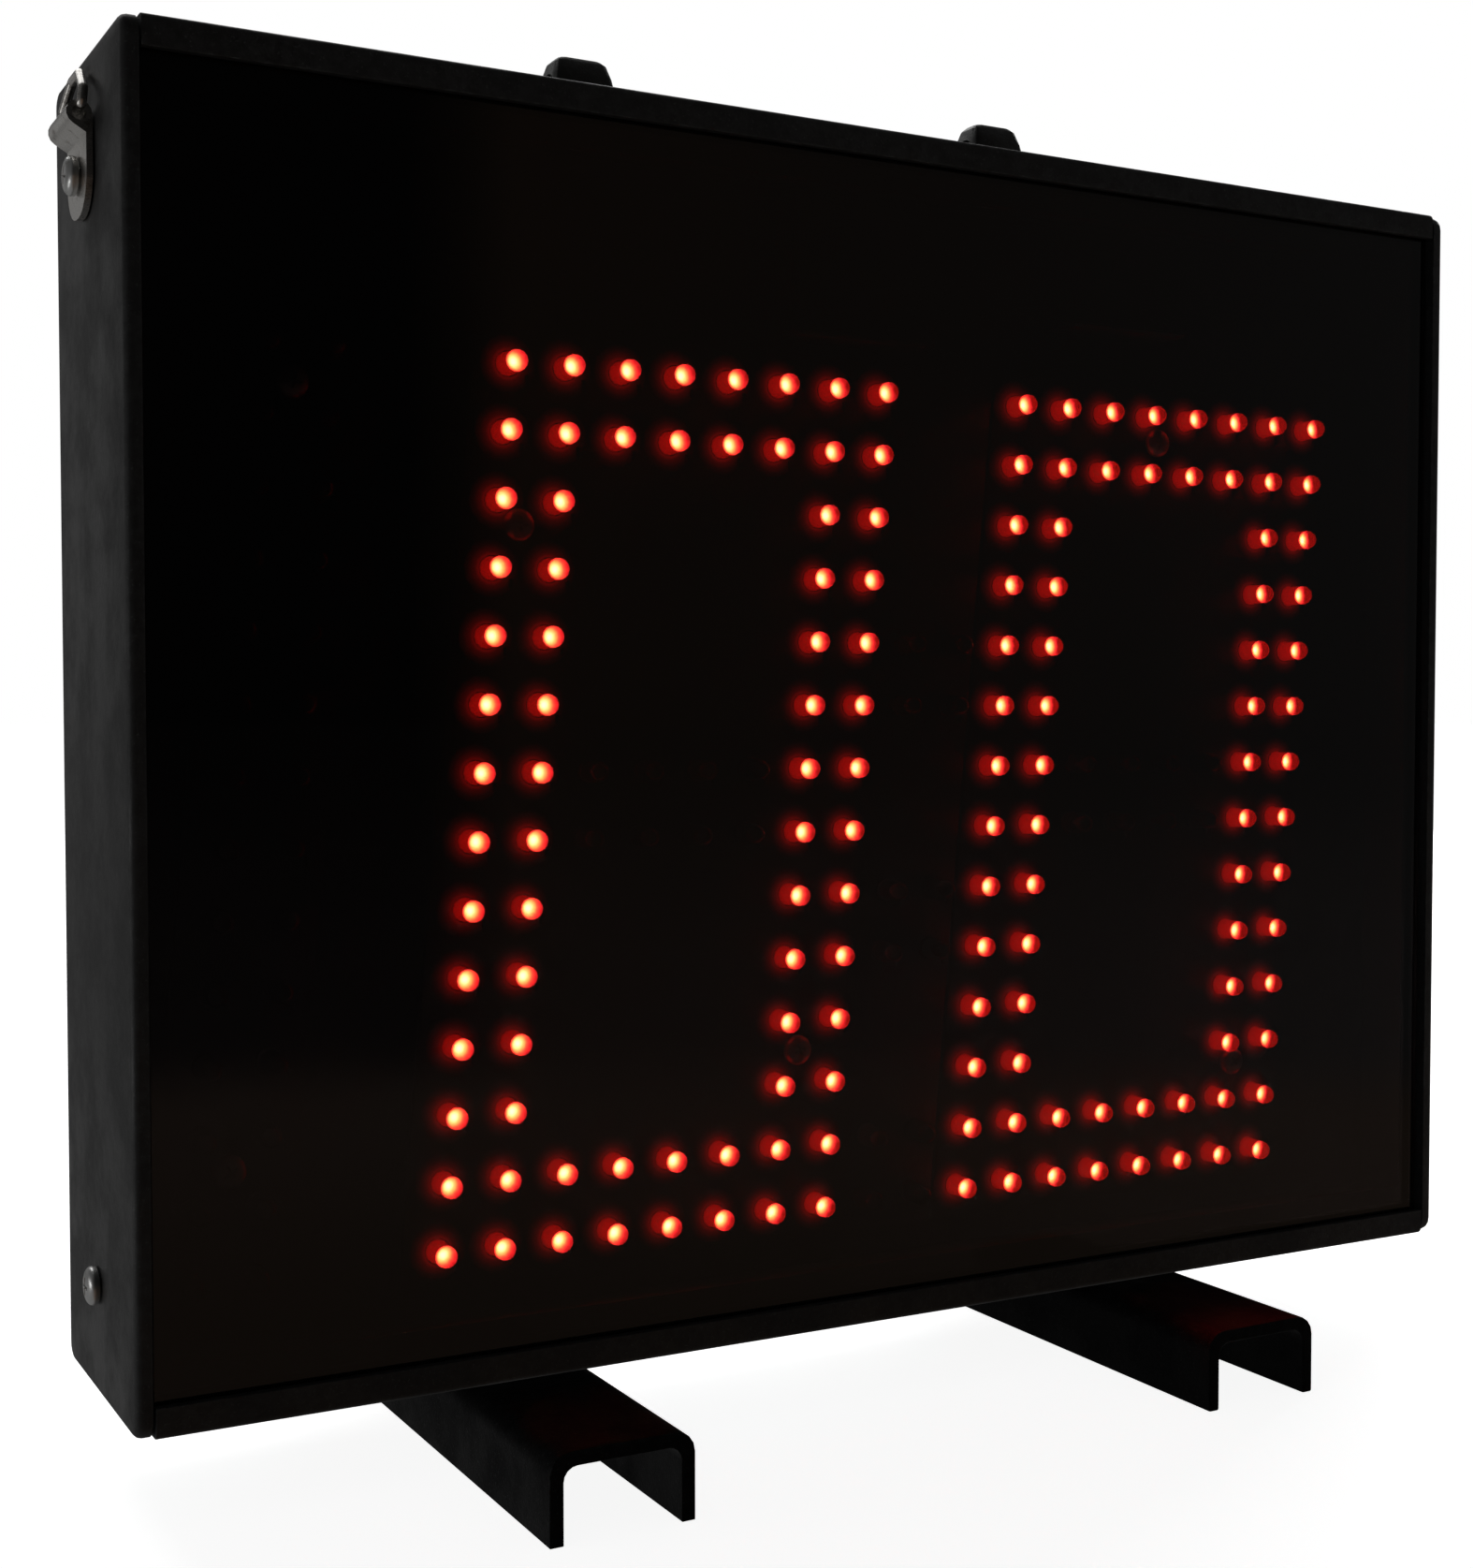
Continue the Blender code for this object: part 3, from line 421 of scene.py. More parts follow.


# %% [markdown]
# ### Painted, moulded and rubber finishes
# The box is aluminium with a fine-textured black powder coat. It looks dark grey from the side,
# because the texture catches light. It has slow clouds in it and is rubbed paler along its edges.
# The feet have a darker and duller copy of the same coat, which is painted shade for the shade they stand in
# under the box.
# Rubber and moulded plastic are smoother, with a softer sheen.

# %% Powder coat, rubber and plastic
def powder_coat(name="powder_coat", dust=0.30, gloss=0.42, painted_shade_tone=1.0):
    made, tree, shader, place = new_finish(name, (0.020, 0.022, 0.024), 0.55, specular_ior_level=gloss)
    grain = add_group(tree, GRAIN, place, grain_scale=1700.0, mottle_scale=500.0)
    wear = add_group(tree, WEAR, place, width=0.0006, breakup_scale=420.0)
    settled = add_group(tree, DUST, place, amount=dust)
    uneven = smooth_step(tree, grain.outputs["Mottle"], 0.28, 0.72)
    # Below 1, this factor darkens the whole coat as painted shade.
    coat = mixed(tree, uneven, *[(painted_shade_tone * v, painted_shade_tone * v, painted_shade_tone * v) for v in (0.009, 0.025)])
    clouds = smooth_step(tree, noise(tree, place, 55.0, 4.0, 0.6), 0.35, 0.68)
    coat = mixed(tree, math_node(tree, "MULTIPLY", clouds, 0.35), coat, (0.008, 0.008, 0.009))
    coat = mixed(tree, grain.outputs["Specks"], coat, (0.052, 0.054, 0.053))
    coat = mixed(tree, wear.outputs["Mask"], coat, (0.050, 0.051, 0.051))
    coat = mixed(tree, settled.outputs["Mask"], coat, (0.090, 0.089, 0.084))
    link(tree, coat, shader.inputs["Base Color"])
    link(tree, ranged(tree, clouds, 0.44, 0.62), shader.inputs["Roughness"])
    bump(tree, shader, grain.outputs["Height"], 0.00017, 0.46)
    return made


def soft_black(name, color, roughness, grain_scale, depth, dust=0.2):
    """Rubber or moulded plastic: an even colour with a fine grain and a little dust."""
    made, tree, shader, place = new_finish(name, color, roughness)
    grain = add_group(tree, GRAIN, place, grain_scale=grain_scale, mottle_scale=120.0)
    mottle = grain.outputs["Mottle"]
    wear = add_group(tree, WEAR, place, width=0.0005, breakup_scale=500.0)
    settled = add_group(tree, DUST, place, amount=dust)
    body = mixed(tree, mottle, color, tuple(1.7 * v for v in color))
    body = mixed(tree, wear.outputs["Mask"], body, tuple(3.0 * v for v in color))
    body = mixed(tree, settled.outputs["Mask"], body, (0.110, 0.108, 0.100))
    link(tree, body, shader.inputs["Base Color"])
    link(tree, ranged(tree, mottle, roughness - 0.08, roughness + 0.10), shader.inputs["Roughness"])
    bump(tree, shader, grain.outputs["Height"], depth, 0.5)
    return made


POWDER = powder_coat()
# The feet's coat is painted shade: a darker, duller copy of the box's coat for the shade under the box.
SHADED_FOOT_COAT = powder_coat("shaded_foot_coat", dust=0.05, gloss=0.04, painted_shade_tone=0.5)
RUBBER = soft_black("black_rubber", (0.014, 0.014, 0.014), 0.74, 900.0, 0.00012)
PLASTIC = soft_black("moulded_plastic", (0.016, 0.016, 0.017), 0.42, 2200.0, 0.00006)
print("finishes:", POWDER.name, SHADED_FOOT_COAT.name, RUBBER.name, PLASTIC.name)

# %% [markdown]
# ### Metals
# Bare metal needs scratches more than colour. Noise that is stretched along one axis gives fine
# drawn lines, and a slow noise darkens the plating in patches.

# %% Metals
def plated_metal(name, color, roughness, stretch=(1, 1, 14),
                 tarnish=(0.22, 0.20, 0.17), tarnish_from=0.56):
    made, tree, shader, place = new_finish(name, color, roughness, 1.0)
    lines = add_node(tree, "ShaderNodeMapping")
    lines.inputs["Scale"].default_value = stretch
    link(tree, place, lines.inputs["Vector"])
    scratches = noise(tree, lines.outputs["Vector"], 900.0, 4.0, 0.7)
    patches = smooth_step(tree, noise(tree, place, 240.0, 5.0, 0.65), tarnish_from, tarnish_from + 0.22)
    wear = add_group(tree, WEAR, place, width=0.0004, breakup_scale=600.0)
    plate = mixed(tree, patches, color, tarnish)
    plate = mixed(tree, wear.outputs["Mask"], plate, tuple(min(1.0, 1.25 * v) for v in color))
    link(tree, plate, shader.inputs["Base Color"])
    link(tree, ranged(tree, scratches, roughness - 0.10, roughness + 0.16), shader.inputs["Roughness"])
    bump(tree, shader, scratches, 0.00003, 0.5)
    return made


NICKEL = plated_metal("nickel_plate", (0.60, 0.58, 0.55), 0.26,
                      tarnish=(0.17, 0.145, 0.12), tarnish_from=0.52)
ZINC = plated_metal("zinc_plate", (0.56, 0.56, 0.55), 0.34, stretch=(1, 1, 1))
BRASS = plated_metal("turned_brass", (0.70, 0.52, 0.22), 0.32, tarnish=(0.35, 0.24, 0.10))
print("metals:", NICKEL.name, ZINC.name, BRASS.name)

# %% [markdown]
# ### Window and electronics
# The window is smoke-tinted acrylic. Its tint is deep, so that only the lit LEDs show through.
# Smudges vary its roughness a little, which breaks up the reflections as finger marks do.
# Boards, wrap and wires are simple finishes, because they are seen only through the tint.

# %% Window, boards and wires
def tinted_acrylic():
    made, tree, shader, place = new_finish("tinted_acrylic", (0.150, 0.112, 0.104), 0.02,
                                           transmission_weight=1.0, ior=1.49)
    smudges = smooth_step(tree, noise(tree, place, 14.0, 3.0, 0.5), 0.45, 0.75)
    link(tree, ranged(tree, smudges, 0.012, 0.030), shader.inputs["Roughness"])
    return made


def electronics(name, low, high, roughness, scale):
    """Solder mask, shrink wrap or cable jacket: two close colours in a soft pattern."""
    made, tree, shader, place = new_finish(name, low, roughness)
    grain = add_group(tree, GRAIN, place, grain_scale=scale * 5, mottle_scale=scale)
    mottle = grain.outputs["Mottle"]
    link(tree, mixed(tree, mottle, low, high), shader.inputs["Base Color"])
    link(tree, ranged(tree, mottle, roughness - 0.06, roughness + 0.08), shader.inputs["Roughness"])
    bump(tree, shader, grain.outputs["Height"], 0.00004, 0.4)
    return made


WINDOW = tinted_acrylic()
BLACK_MASK, GREEN_MASK, SHRINK_WRAP, JACKET, RIBBON = [electronics(*each) for each in (
    ("black_solder_mask", (0.006, 0.006, 0.006), (0.012, 0.012, 0.012), 0.45, 300.0),
    ("green_solder_mask", (0.008, 0.050, 0.022), (0.016, 0.080, 0.036), 0.35, 300.0),
    ("shrink_wrap", (0.020, 0.045, 0.150), (0.035, 0.070, 0.210), 0.30, 90.0),
    ("wire_jacket", (0.300, 0.014, 0.012), (0.380, 0.024, 0.020), 0.42, 500.0),
    ("ribbon_jacket", (0.260, 0.270, 0.280), (0.360, 0.370, 0.380), 0.50, 700.0))]
print("window and electronics:", WINDOW.name, BLACK_MASK.name, GREEN_MASK.name)

# %% [markdown]
# ### Light-emitting finishes
# An LED is a clear reddish lens with a small bright chip in a cup deep inside it. Its round nose
# bends the light, so the bright spot seems to wander over the nose as one walks past.
# Real refraction gives that for nothing: the lens is tinted glass, and the cup inside it glows.
# The cup's mesh carries an attribute called glow, from 0 on its wall to 1 at the chip, and a colour
# ramp turns it into the colour of the light. The same attribute fades the light on the board.

# %% Finishes of lit and unlit LEDs
def glowing(name, base, roughness, strength, *stops):
    """A surface that glows by its mesh's glow attribute. It isn't sampled as a lamp."""
    made, tree, shader, _ = new_finish(name, base, roughness)
    shader.inputs["Emission Strength"].default_value = strength
    glow = add_node(tree, "ShaderNodeAttribute", attribute_name="glow")
    link(tree, color_ramp(tree, glow.outputs["Fac"], stops), shader.inputs["Emission Color"])
    made.cycles.emission_sampling = "NONE"
    return made


LED_CUP = glowing("led_cup", (0.10, 0.004, 0.003), 0.25, 24.0,
                  (0.0, (0.050, 0.0006, 0.0003)), (0.30, (0.088, 0.0010, 0.0006)),
                  (0.40, (0.32, 0.012, 0.018)), (0.51, (0.72, 0.078, 0.042)),
                  (0.63, (1.0, 0.38, 0.10)), (0.76, (1.0, 0.72, 0.27)), (0.90, (1.0, 0.97, 0.62)))
LED_SPILL = glowing("led_spill", (0.008, 0.008, 0.008), 0.5, 2.6,
                    (0.0, (0.0, 0.0, 0.0)), (0.35, (0.014, 0.0002, 0.0001)),
                    (0.75, (0.070, 0.0008, 0.0005)), (1.0, (0.240, 0.003, 0.002)))


def led_lens():
    made, tree, shader, place = new_finish("led_lens", (0.90, 0.34, 0.30), 0.03,
                                           transmission_weight=1.0, ior=1.50)
    haze = noise(tree, place, 900.0, 2.0)
    link(tree, ranged(tree, haze, 0.02, 0.05), shader.inputs["Roughness"])
    return made


LED_LENS = led_lens()
LED_DARK = soft_black("led_unlit", (0.030, 0.007, 0.006), 0.18, 900.0, 0.00001, dust=0.0)
print("LED finishes:", LED_LENS.name, LED_CUP.name, LED_SPILL.name, LED_DARK.name)

# %% [markdown]
# ## Softening what the frame already has right
# The solids have the right shape but knife-sharp edges, and a real edge always has a small
# radius. This helper copies a solid, merges its loose triangles, rounds its edges and shades it.
# The copy stands for the solid, which stays in the frame for collision.

# %% Helper that turns a solid into a finished piece
def put(piece, body, slot_name, *stood_for):
    """The piece moves with the body and stands for those solids. The slot name is not used."""
    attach(piece, body)
    if stood_for:
        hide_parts(*stood_for)
    return piece


def new_piece(name, bm, finish, smooth_angle=40.0):
    mesh = bpy.data.meshes.new(name)
    bm.to_mesh(mesh)
    bm.free()
    mesh.materials.append(finish)
    mesh.shade_smooth()
    mesh.set_sharp_from_angle(angle=math.radians(smooth_angle))
    made = bpy.data.objects.new(name, mesh)
    bpy.context.scene.collection.objects.link(made)
    return made


def soften(node, finish, slot_name, radius=0.4 * MM, body="housing", segments=3):
    bm = bmesh.new()
    bm.from_mesh(nodes[node].data)
    bmesh.ops.remove_doubles(bm, verts=bm.verts, dist=1e-6)
    bmesh.ops.dissolve_limit(bm, angle_limit=math.radians(0.4), verts=bm.verts, edges=bm.edges)
    piece = new_piece(f"{node}_shown", bm, finish)
    edge = piece.modifiers.new("soft edges", "BEVEL")
    edge.width, edge.segments, edge.limit_method = radius, segments, "ANGLE"
    edge.angle_limit = math.radians(32)
    edge.harden_normals = True
    return put(piece, body, slot_name, node)


coated = (("top_rail", 0.35), ("bottom_rail", 0.35), ("left_end_plate", 0.30),
          ("right_end_plate", 0.30), ("rear_cover", 0.30), ("foot_left", 0.60),
          ("foot_right", 0.60), ("handle_bracket_left", 0.50), ("handle_bracket_right", 0.50))
for node, radius in coated:
    is_foot = node.startswith("foot")
    # The feet get the darker coat, which is painted shade.
    shown = soften(node, SHADED_FOOT_COAT if is_foot else POWDER, "powder_coat", radius * MM)
    if is_foot:
        shown.visible_glossy = False  # the window would mirror it as a hard black shape
        lit_by_figures.objects.link(shown)
soften("front_window", WINDOW, "tinted_window", 0.35 * MM)
for side in ("left", "right"):
    soften(f"{side}_strap", NICKEL, "bright_steel", 0.35 * MM)
for node in ("power_switch_body", "mode_button_body", "brightness_button_body", "charge_inlet"):
    soften(node, PLASTIC, "black_plastic", 0.25 * MM)
soften("power_rocker", PLASTIC, "black_plastic", 0.25 * MM, "rocker")
for node, body in (("inlet_cap", "inlet_cap"), ("mode_button_cap", "mode_button"),
                   ("brightness_button_cap", "brightness_button")):
    soften(node, RUBBER, "rubber", 0.3 * MM, body)

# %% [markdown]
# ## Repeated pieces with Geometry Nodes
# Screws and LEDs are the same small shape many times over, each with its own place and facing.
# One node tree serves them all. It takes a mesh of points, sets a copy of a shape on each point,
# turns it to the point's facing and gives it a little spin, then makes the result real.

# %% The tree that sets a shape on points
def make_scatter_tree():
    tree = bpy.data.node_groups.new("shape_on_points", "GeometryNodeTree")
    for label, kind in (("Geometry", "Geometry"), ("Shape", "Object"), ("Finish", "Material"),
                        ("Most Spin", "Float"), ("Size", "Float")):
        tree.interface.new_socket(label, in_out="INPUT", socket_type=f"NodeSocket{kind}")
    tree.interface.new_socket("Geometry", in_out="OUTPUT", socket_type="NodeSocketGeometry")
    start, end = add_node(tree, "NodeGroupInput"), add_node(tree, "NodeGroupOutput")
    shape = add_node(tree, "GeometryNodeObjectInfo")
    facing = add_node(tree, "GeometryNodeInputNamedAttribute", data_type="FLOAT_VECTOR")
    facing.inputs["Name"].default_value = "facing"
    align = add_node(tree, "FunctionNodeAlignRotationToVector", axis="Z")
    spin = add_node(tree, "FunctionNodeRandomValue", data_type="FLOAT")
    spin.inputs["Seed"].default_value = 7
    turn = add_node(tree, "FunctionNodeRotateRotation", rotation_space="LOCAL")
    around = add_node(tree, "FunctionNodeAxisAngleToRotation")
    place = add_node(tree, "GeometryNodeInstanceOnPoints")
    real = add_node(tree, "GeometryNodeRealizeInstances")
    paint = add_node(tree, "GeometryNodeSetMaterial")
    for giver, output, taker, target in (
            (start, "Shape", shape, "Object"), (facing, "Attribute", align, "Vector"),
            (start, "Most Spin", spin, 3), (spin, 1, around, "Angle"),
            (align, "Rotation", turn, "Rotation"), (around, "Rotation", turn, "Rotate By"),
            (start, "Geometry", place, "Points"), (shape, "Geometry", place, "Instance"),
            (turn, "Rotation", place, "Rotation"), (start, "Size", place, "Scale"),
            (place, "Instances", real, "Geometry"), (real, "Geometry", paint, "Geometry"),
            (start, "Finish", paint, "Material"), (paint, "Geometry", end, "Geometry")):
        link(tree, giver.outputs[output], taker.inputs[target])
    return tree


SCATTER = make_scatter_tree()


def scattered(name, shape, places, finish, spin=0.0, size=1.0):
    """One mesh piece: a copy of shape on each (point, facing) pair."""
    mesh = bpy.data.meshes.new(name)
    mesh.from_pydata([tuple(point) for point, _ in places], [], [])
    facing = mesh.attributes.new("facing", "FLOAT_VECTOR", "POINT")
    facing.data.foreach_set("vector", [v for _, direction in places for v in direction])
    points = bpy.data.objects.new(f"{name}_points", mesh)
    bpy.context.scene.collection.objects.link(points)
    change = points.modifiers.new("scatter", "NODES")
    change.node_group = SCATTER
    sockets = {item.name: item.identifier for item in SCATTER.interface.items_tree
               if item.in_out == "INPUT"}
    for label, value in (("Shape", shape), ("Finish", finish), ("Most Spin", spin), ("Size", size)):
        change[sockets[label]] = value
    bpy.context.view_layer.update()
    graph = bpy.context.evaluated_depsgraph_get()
    made_mesh = bpy.data.meshes.new_from_object(points.evaluated_get(graph))
    made_mesh.name = name
    made = bpy.data.objects.new(name, made_mesh)
    bpy.context.scene.collection.objects.link(made)
    bpy.data.objects.remove(points)
    return made


print("scatter tree:", len(SCATTER.nodes), "nodes")

# %% [markdown]
# ## Screws
# The screws are pan heads with a cross recess. A head is a turned profile: spin it round its
# axis, then cut the cross with two thin tapered blocks. Only the head shows, so the shank is a
# short stub that hides in its hole.

# %% Screw head and its places
def on_circle(radius, k, segments):
    """The place of point k of a circle that is divided evenly."""
    turn = math.tau * k / segments
    return radius * math.cos(turn), radius * math.sin(turn)


def level_ring(bm, radius, height, segments):
    """Vertices round the Z axis. A ring of no radius is one vertex, a pole."""
    if radius == 0:
        return [bm.verts.new((0, 0, height))]
    return [bm.verts.new((*on_circle(radius, k, segments), height)) for k in range(segments)]


def join_rings(bm, rings, segments):
    """Faces between each ring and the next. A ring may be one vertex."""
    for ring, following in zip(rings, rings[1:]):
        for k in range(segments):
            m = (k + 1) % segments
            loop = [ring[k % len(ring)], ring[m % len(ring)],
                    following[m % len(following)], following[k % len(following)]]
            bm.faces.new(list(dict.fromkeys(loop)))


def turned(profile, segments=24):
    """A closed body of revolution about Z. The profile is (radius, height) from bottom to top."""
    bm = bmesh.new()
    rings = [level_ring(bm, radius, height, segments) for radius, height in profile]
    join_rings(bm, rings, segments)
    for ring in (rings[0], rings[-1]):
        if len(ring) > 1:
            bm.faces.new(ring)
    bmesh.ops.recalc_face_normals(bm, faces=bm.faces)
    return bm


def quarter(k, steps):
    """The angle of step k of a quarter turn."""
    return math.pi / 2 * k / steps


def cross_cutter(radius, height):
    """Two crossed blades, narrower at their lower ends, that stand in the top of a screw head."""
    wide, narrow, deep = 0.56 * radius, 0.20 * radius, 0.62 * height
    levels = ((height - deep, 0.45), (height * 1.2, 1.05))
    bm = bmesh.new()
    for turn in (0, math.pi / 2):
        corners = [(sx * wide * s, sy * 0.5 * narrow * s, z) for z, s in levels
                   for sx, sy in ((-1, -1), (1, -1), (1, 1), (-1, 1))]
        verts = [bm.verts.new(Matrix.Rotation(turn, 3, "Z") @ Vector(c)) for c in corners]
        for face in ((0, 3, 2, 1), (4, 5, 6, 7), (0, 1, 5, 4), (1, 2, 6, 5), (2, 3, 7, 6), (3, 0, 4, 7)):
            bm.faces.new([verts[k] for k in face])
    return new_piece("cross_cutter", bm, ZINC)


def pan_head(radius, height):
    """A screw head with a domed top and a cross recess, standing on z = 0."""
    steps, stub_r, stub_length = 7, 0.45 * radius, 1.2 * MM
    profile = [(stub_r, -stub_length), (stub_r, 0), (0.97 * radius, 0)]
    profile += [(radius * math.cos(quarter(k, steps)) ** 0.6,
                 height * (0.34 + 0.66 * math.sin(quarter(k, steps)))) for k in range(steps)]
    head = new_piece("screw_head_shape", turned(profile + [(0, height)], 28), ZINC)
    blade = cross_cutter(radius, height)
    cut = head.modifiers.new("cross", "BOOLEAN")
    cut.operation, cut.object, cut.use_self = "DIFFERENCE", blade, True
    bpy.context.view_layer.update()
    graph = bpy.context.evaluated_depsgraph_get()
    mesh = bpy.data.meshes.new_from_object(head.evaluated_get(graph))
    mesh.shade_smooth()
    mesh.set_sharp_from_angle(angle=math.radians(38))
    bpy.data.objects.remove(head)
    bpy.data.objects.remove(blade)
    made = bpy.data.objects.new("screw_shape", mesh)
    bpy.context.scene.collection.objects.link(made)
    made.hide_render = True
    return made


SCREW_HEAD_R, SCREW_HEAD_HEIGHT = 4.1 * MM, 2.4 * MM
SCREW_SHAPE = pan_head(SCREW_HEAD_R, SCREW_HEAD_HEIGHT)


def head_place(node, facing):
    """The seat of a screw's head, from the end of its solid that the head is on."""
    low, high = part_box(node)
    middle = (low + high) / 2
    axis = max(range(3), key=lambda k: abs(facing[k]))
    middle[axis] = (high[axis] if facing[axis] > 0 else low[axis]) - facing[axis] * SCREW_HEAD_HEIGHT
    return middle, facing


side_nodes = [(f"{side}_{kind}_screw", Vector((sign, 0, 0)))
              for side, sign in (("left", -1), ("right", 1)) for kind in ("side", "strap")]
rear_nodes = [(f"rear_cover_screw_{k}", Vector((0, 1, 0))) for k in range(1, 5)]
foot_nodes = [(f"foot_screw_{k}", Vector((0, 0, -1))) for k in range(1, 5)]
for name, group in (("side_screws", side_nodes), ("rear_screws", rear_nodes), ("foot_screws", foot_nodes)):
    screws = scattered(name, SCREW_SHAPE, [head_place(*each) for each in group], ZINC, spin=math.tau)
    put(screws, "housing", "zinc_steel", *[node for node, _ in group])
    print(name, len(screws.data.polygons), "faces")

# %% [markdown]
# ## LEDs and their boards
# Each figure is a board with 5 mm LEDs. The lens is a cylinder with a round nose on a thin
# flange. Lit and unlit LEDs share the shape; a lit one also has the glowing cup inside.
# It throws red light on the board round its foot, made as a flat ring just above the board whose
# glow fades outwards. There are many LEDs, so each shape has only a few dozen faces.

# %% LED shapes
LED_R, LED_FLANGE_R, LED_HEIGHT = 2.5 * MM, 2.9 * MM, board_y - led_tip_y
CUP_R, CHIP_DEPTH = 1.9 * MM, 3.7 * MM


def with_glow(bm, glow_of):
    """Stores a glow value on each vertex of the mesh."""
    layer = bm.verts.layers.float.new("glow")
    for vert in bm.verts:
        vert[layer] = glow_of(vert.co)
    return bm


def hidden_shape(name, bm, finish):
    """A shape to be copied, which isn't rendered itself."""
    made = new_piece(name, bm, finish)
    made.hide_render = True
    return made


def led_shape():
    nose, steps = LED_R, 4
    profile = [(LED_FLANGE_R, 0.0), (LED_FLANGE_R, 0.8 * MM), (LED_R, 1.0 * MM), (LED_R, LED_HEIGHT - nose)]
    profile += [(LED_R * math.cos(quarter(k, steps)), LED_HEIGHT - nose + nose * math.sin(quarter(k, steps)))
                for k in range(1, steps)]
    return hidden_shape("led_shape", turned(profile + [(0, LED_HEIGHT)], 14), LED_LENS)


def cup_shape():
    """The glowing core: dim red in the flange and on its wall, bright at the middle of its top."""
    top = LED_HEIGHT - CHIP_DEPTH
    profile = [(2.6 * MM, 0.15 * MM), (2.6 * MM, 0.70 * MM), (CUP_R, 1.1 * MM), (CUP_R, top - 0.4 * MM),
               (0.86 * CUP_R, top), (0.50 * CUP_R, top + 0.1 * MM), (0, top + 0.15 * MM)]
    def glow_of(co):
        if co.z < top - 0.3 * MM:
            return 0.3 * min(1.0, co.z / (0.6 * top))
        return 1.0 - 0.85 * co.xy.length / CUP_R
    return hidden_shape("cup_shape", with_glow(turned(profile, 12), glow_of), LED_CUP)


def spill_shape(outer=6.6 * MM, height=0.06 * MM):
    segments, inner = 14, LED_FLANGE_R * 1.02
    bm = bmesh.new()
    rings = [level_ring(bm, r, z, segments)
             for r, z in ((outer, 0.0), (0.70 * outer, height), (inner, height), (inner, 0.0))]
    join_rings(bm, rings + rings[:1], segments)
    bmesh.ops.recalc_face_normals(bm, faces=bm.faces)
    def glow_of(co):
        return max(0.0, 1.0 - (co.xy.length - LED_FLANGE_R) / (outer - LED_FLANGE_R))
    return hidden_shape("spill_shape", with_glow(bm, glow_of), LED_SPILL)


LED_SHAPE, CUP_SHAPE, SPILL_SHAPE = led_shape(), cup_shape(), spill_shape()
print("faces: LED", len(LED_SHAPE.data.polygons), "cup", len(CUP_SHAPE.data.polygons), "ring of light",
      len(SPILL_SHAPE.data.polygons))

# %% [markdown]
# The lit figure is a nought: its two sides and its top and bottom bars. The middle bar, the dots
# between the figures and the figure one on the left stay dark.

# %% Which LEDs are lit
SIDE_COLUMNS, END_ROWS, BAR_ROWS = (0, 1, 6, 7), (0, 1, 12, 13), (6, 7)
nought = [(column, row) for row in range(ROWS) for column in range(8)
          if column in SIDE_COLUMNS or row in END_ROWS]
bar = [(column, row) for row in BAR_ROWS for column in range(2, 6)]
dots = [(column, row) for column in (8, 9) for row in (4, 5, 8, 9, 12, 13)]
one = [(column, row) for column in (-4, -3) for row in range(ROWS)]
lit = [(first + column, row) for first in (0, 10) for column, row in nought]
unlit = [(first + column, row) for first in (0, 10) for column, row in bar] + dots + one
towards_front = Vector((0, -1, 0))


def led_points(cells):
    return [(Vector((led_place(*cell)[0], board_y, led_place(*cell)[1])), towards_front) for cell in cells]


led_rows = (("lit_leds", LED_SHAPE, lit, LED_LENS), ("lit_led_cups", CUP_SHAPE, lit, LED_CUP),
            ("led_light_on_board", SPILL_SHAPE, lit, LED_SPILL), ("unlit_leds", LED_SHAPE, unlit, LED_DARK))
for name, shape, cells, finish in led_rows:
    put(scattered(name, shape, led_points(cells), finish), "housing", "led_board")
print(len(lit), "lit and", len(unlit), "unlit LEDs")

# %% [markdown]
# The boards are thin slabs with the slant of the figures. They are black, so that they vanish
# behind the tint. A small resistor stands beside each LED, and pan-head screws hold the boards.

# %% Boards, resistors and board screws
def slanted_board(name, first_edge, last_edge):
    low_z, high_z = grid_z - (ROWS - 1) * ROW_PITCH - BOARD_EDGE, grid_z + BOARD_EDGE
    bm = bmesh.new()
    outline = ((first_edge, low_z), (last_edge, low_z), (last_edge, high_z), (first_edge, high_z))
    corners = [(grid_x + column * COLUMN_PITCH + (z - grid_z) * SLANT, z) for column, z in outline]
    verts = [bm.verts.new((x, board_y, z)) for x, z in corners]
    face = bm.faces.new(verts)
    pushed = bmesh.ops.extrude_face_region(bm, geom=[face])["geom"]
    back = [v for v in pushed if isinstance(v, bmesh.types.BMVert)]
    bmesh.ops.translate(bm, vec=(0, BOARD_T, 0), verts=back)
    bmesh.ops.recalc_face_normals(bm, faces=bm.faces)
    bmesh.ops.bevel(bm, geom=bm.edges, offset=0.15 * MM, segments=2, affect="EDGES", profile=0.5)
    return new_piece(name, bm, BLACK_MASK)


board_edges = (("hundreds", -4.6, -2.4), ("tens", -0.6, TENS_LAST_EDGE), ("units", 9.53, 17.6))
for label, first_edge, last_edge in board_edges:
    board = slanted_board(f"{label}_board_shown", first_edge, last_edge)
    put(board, "housing", "led_board", f"{label}_board")

resistor_bm = bmesh.new()
bmesh.ops.create_cube(resistor_bm, size=1.0)
bmesh.ops.scale(resistor_bm, vec=(1.0 * MM, 2.0 * MM, 0.55 * MM), verts=resistor_bm.verts)
bmesh.ops.translate(resistor_bm, vec=(0, 0, 0.30 * MM), verts=resistor_bm.verts)
bmesh.ops.bevel(resistor_bm, geom=resistor_bm.edges, offset=0.08 * MM, segments=1, affect="EDGES")
RESISTOR = hidden_shape("resistor_shape", resistor_bm, BLACK_MASK)
BOARD_SCREW_CELLS = ((0.40, 2.35), (13.35, 0.42), (6.4, 10.5), (16.4, 11.4), (-3.5, 0.5), (-3.5, 11.5))
board_screw_places = led_points(BOARD_SCREW_CELLS)
board_screws = scattered("board_screws", SCREW_SHAPE, board_screw_places, ZINC, math.tau, 0.88)
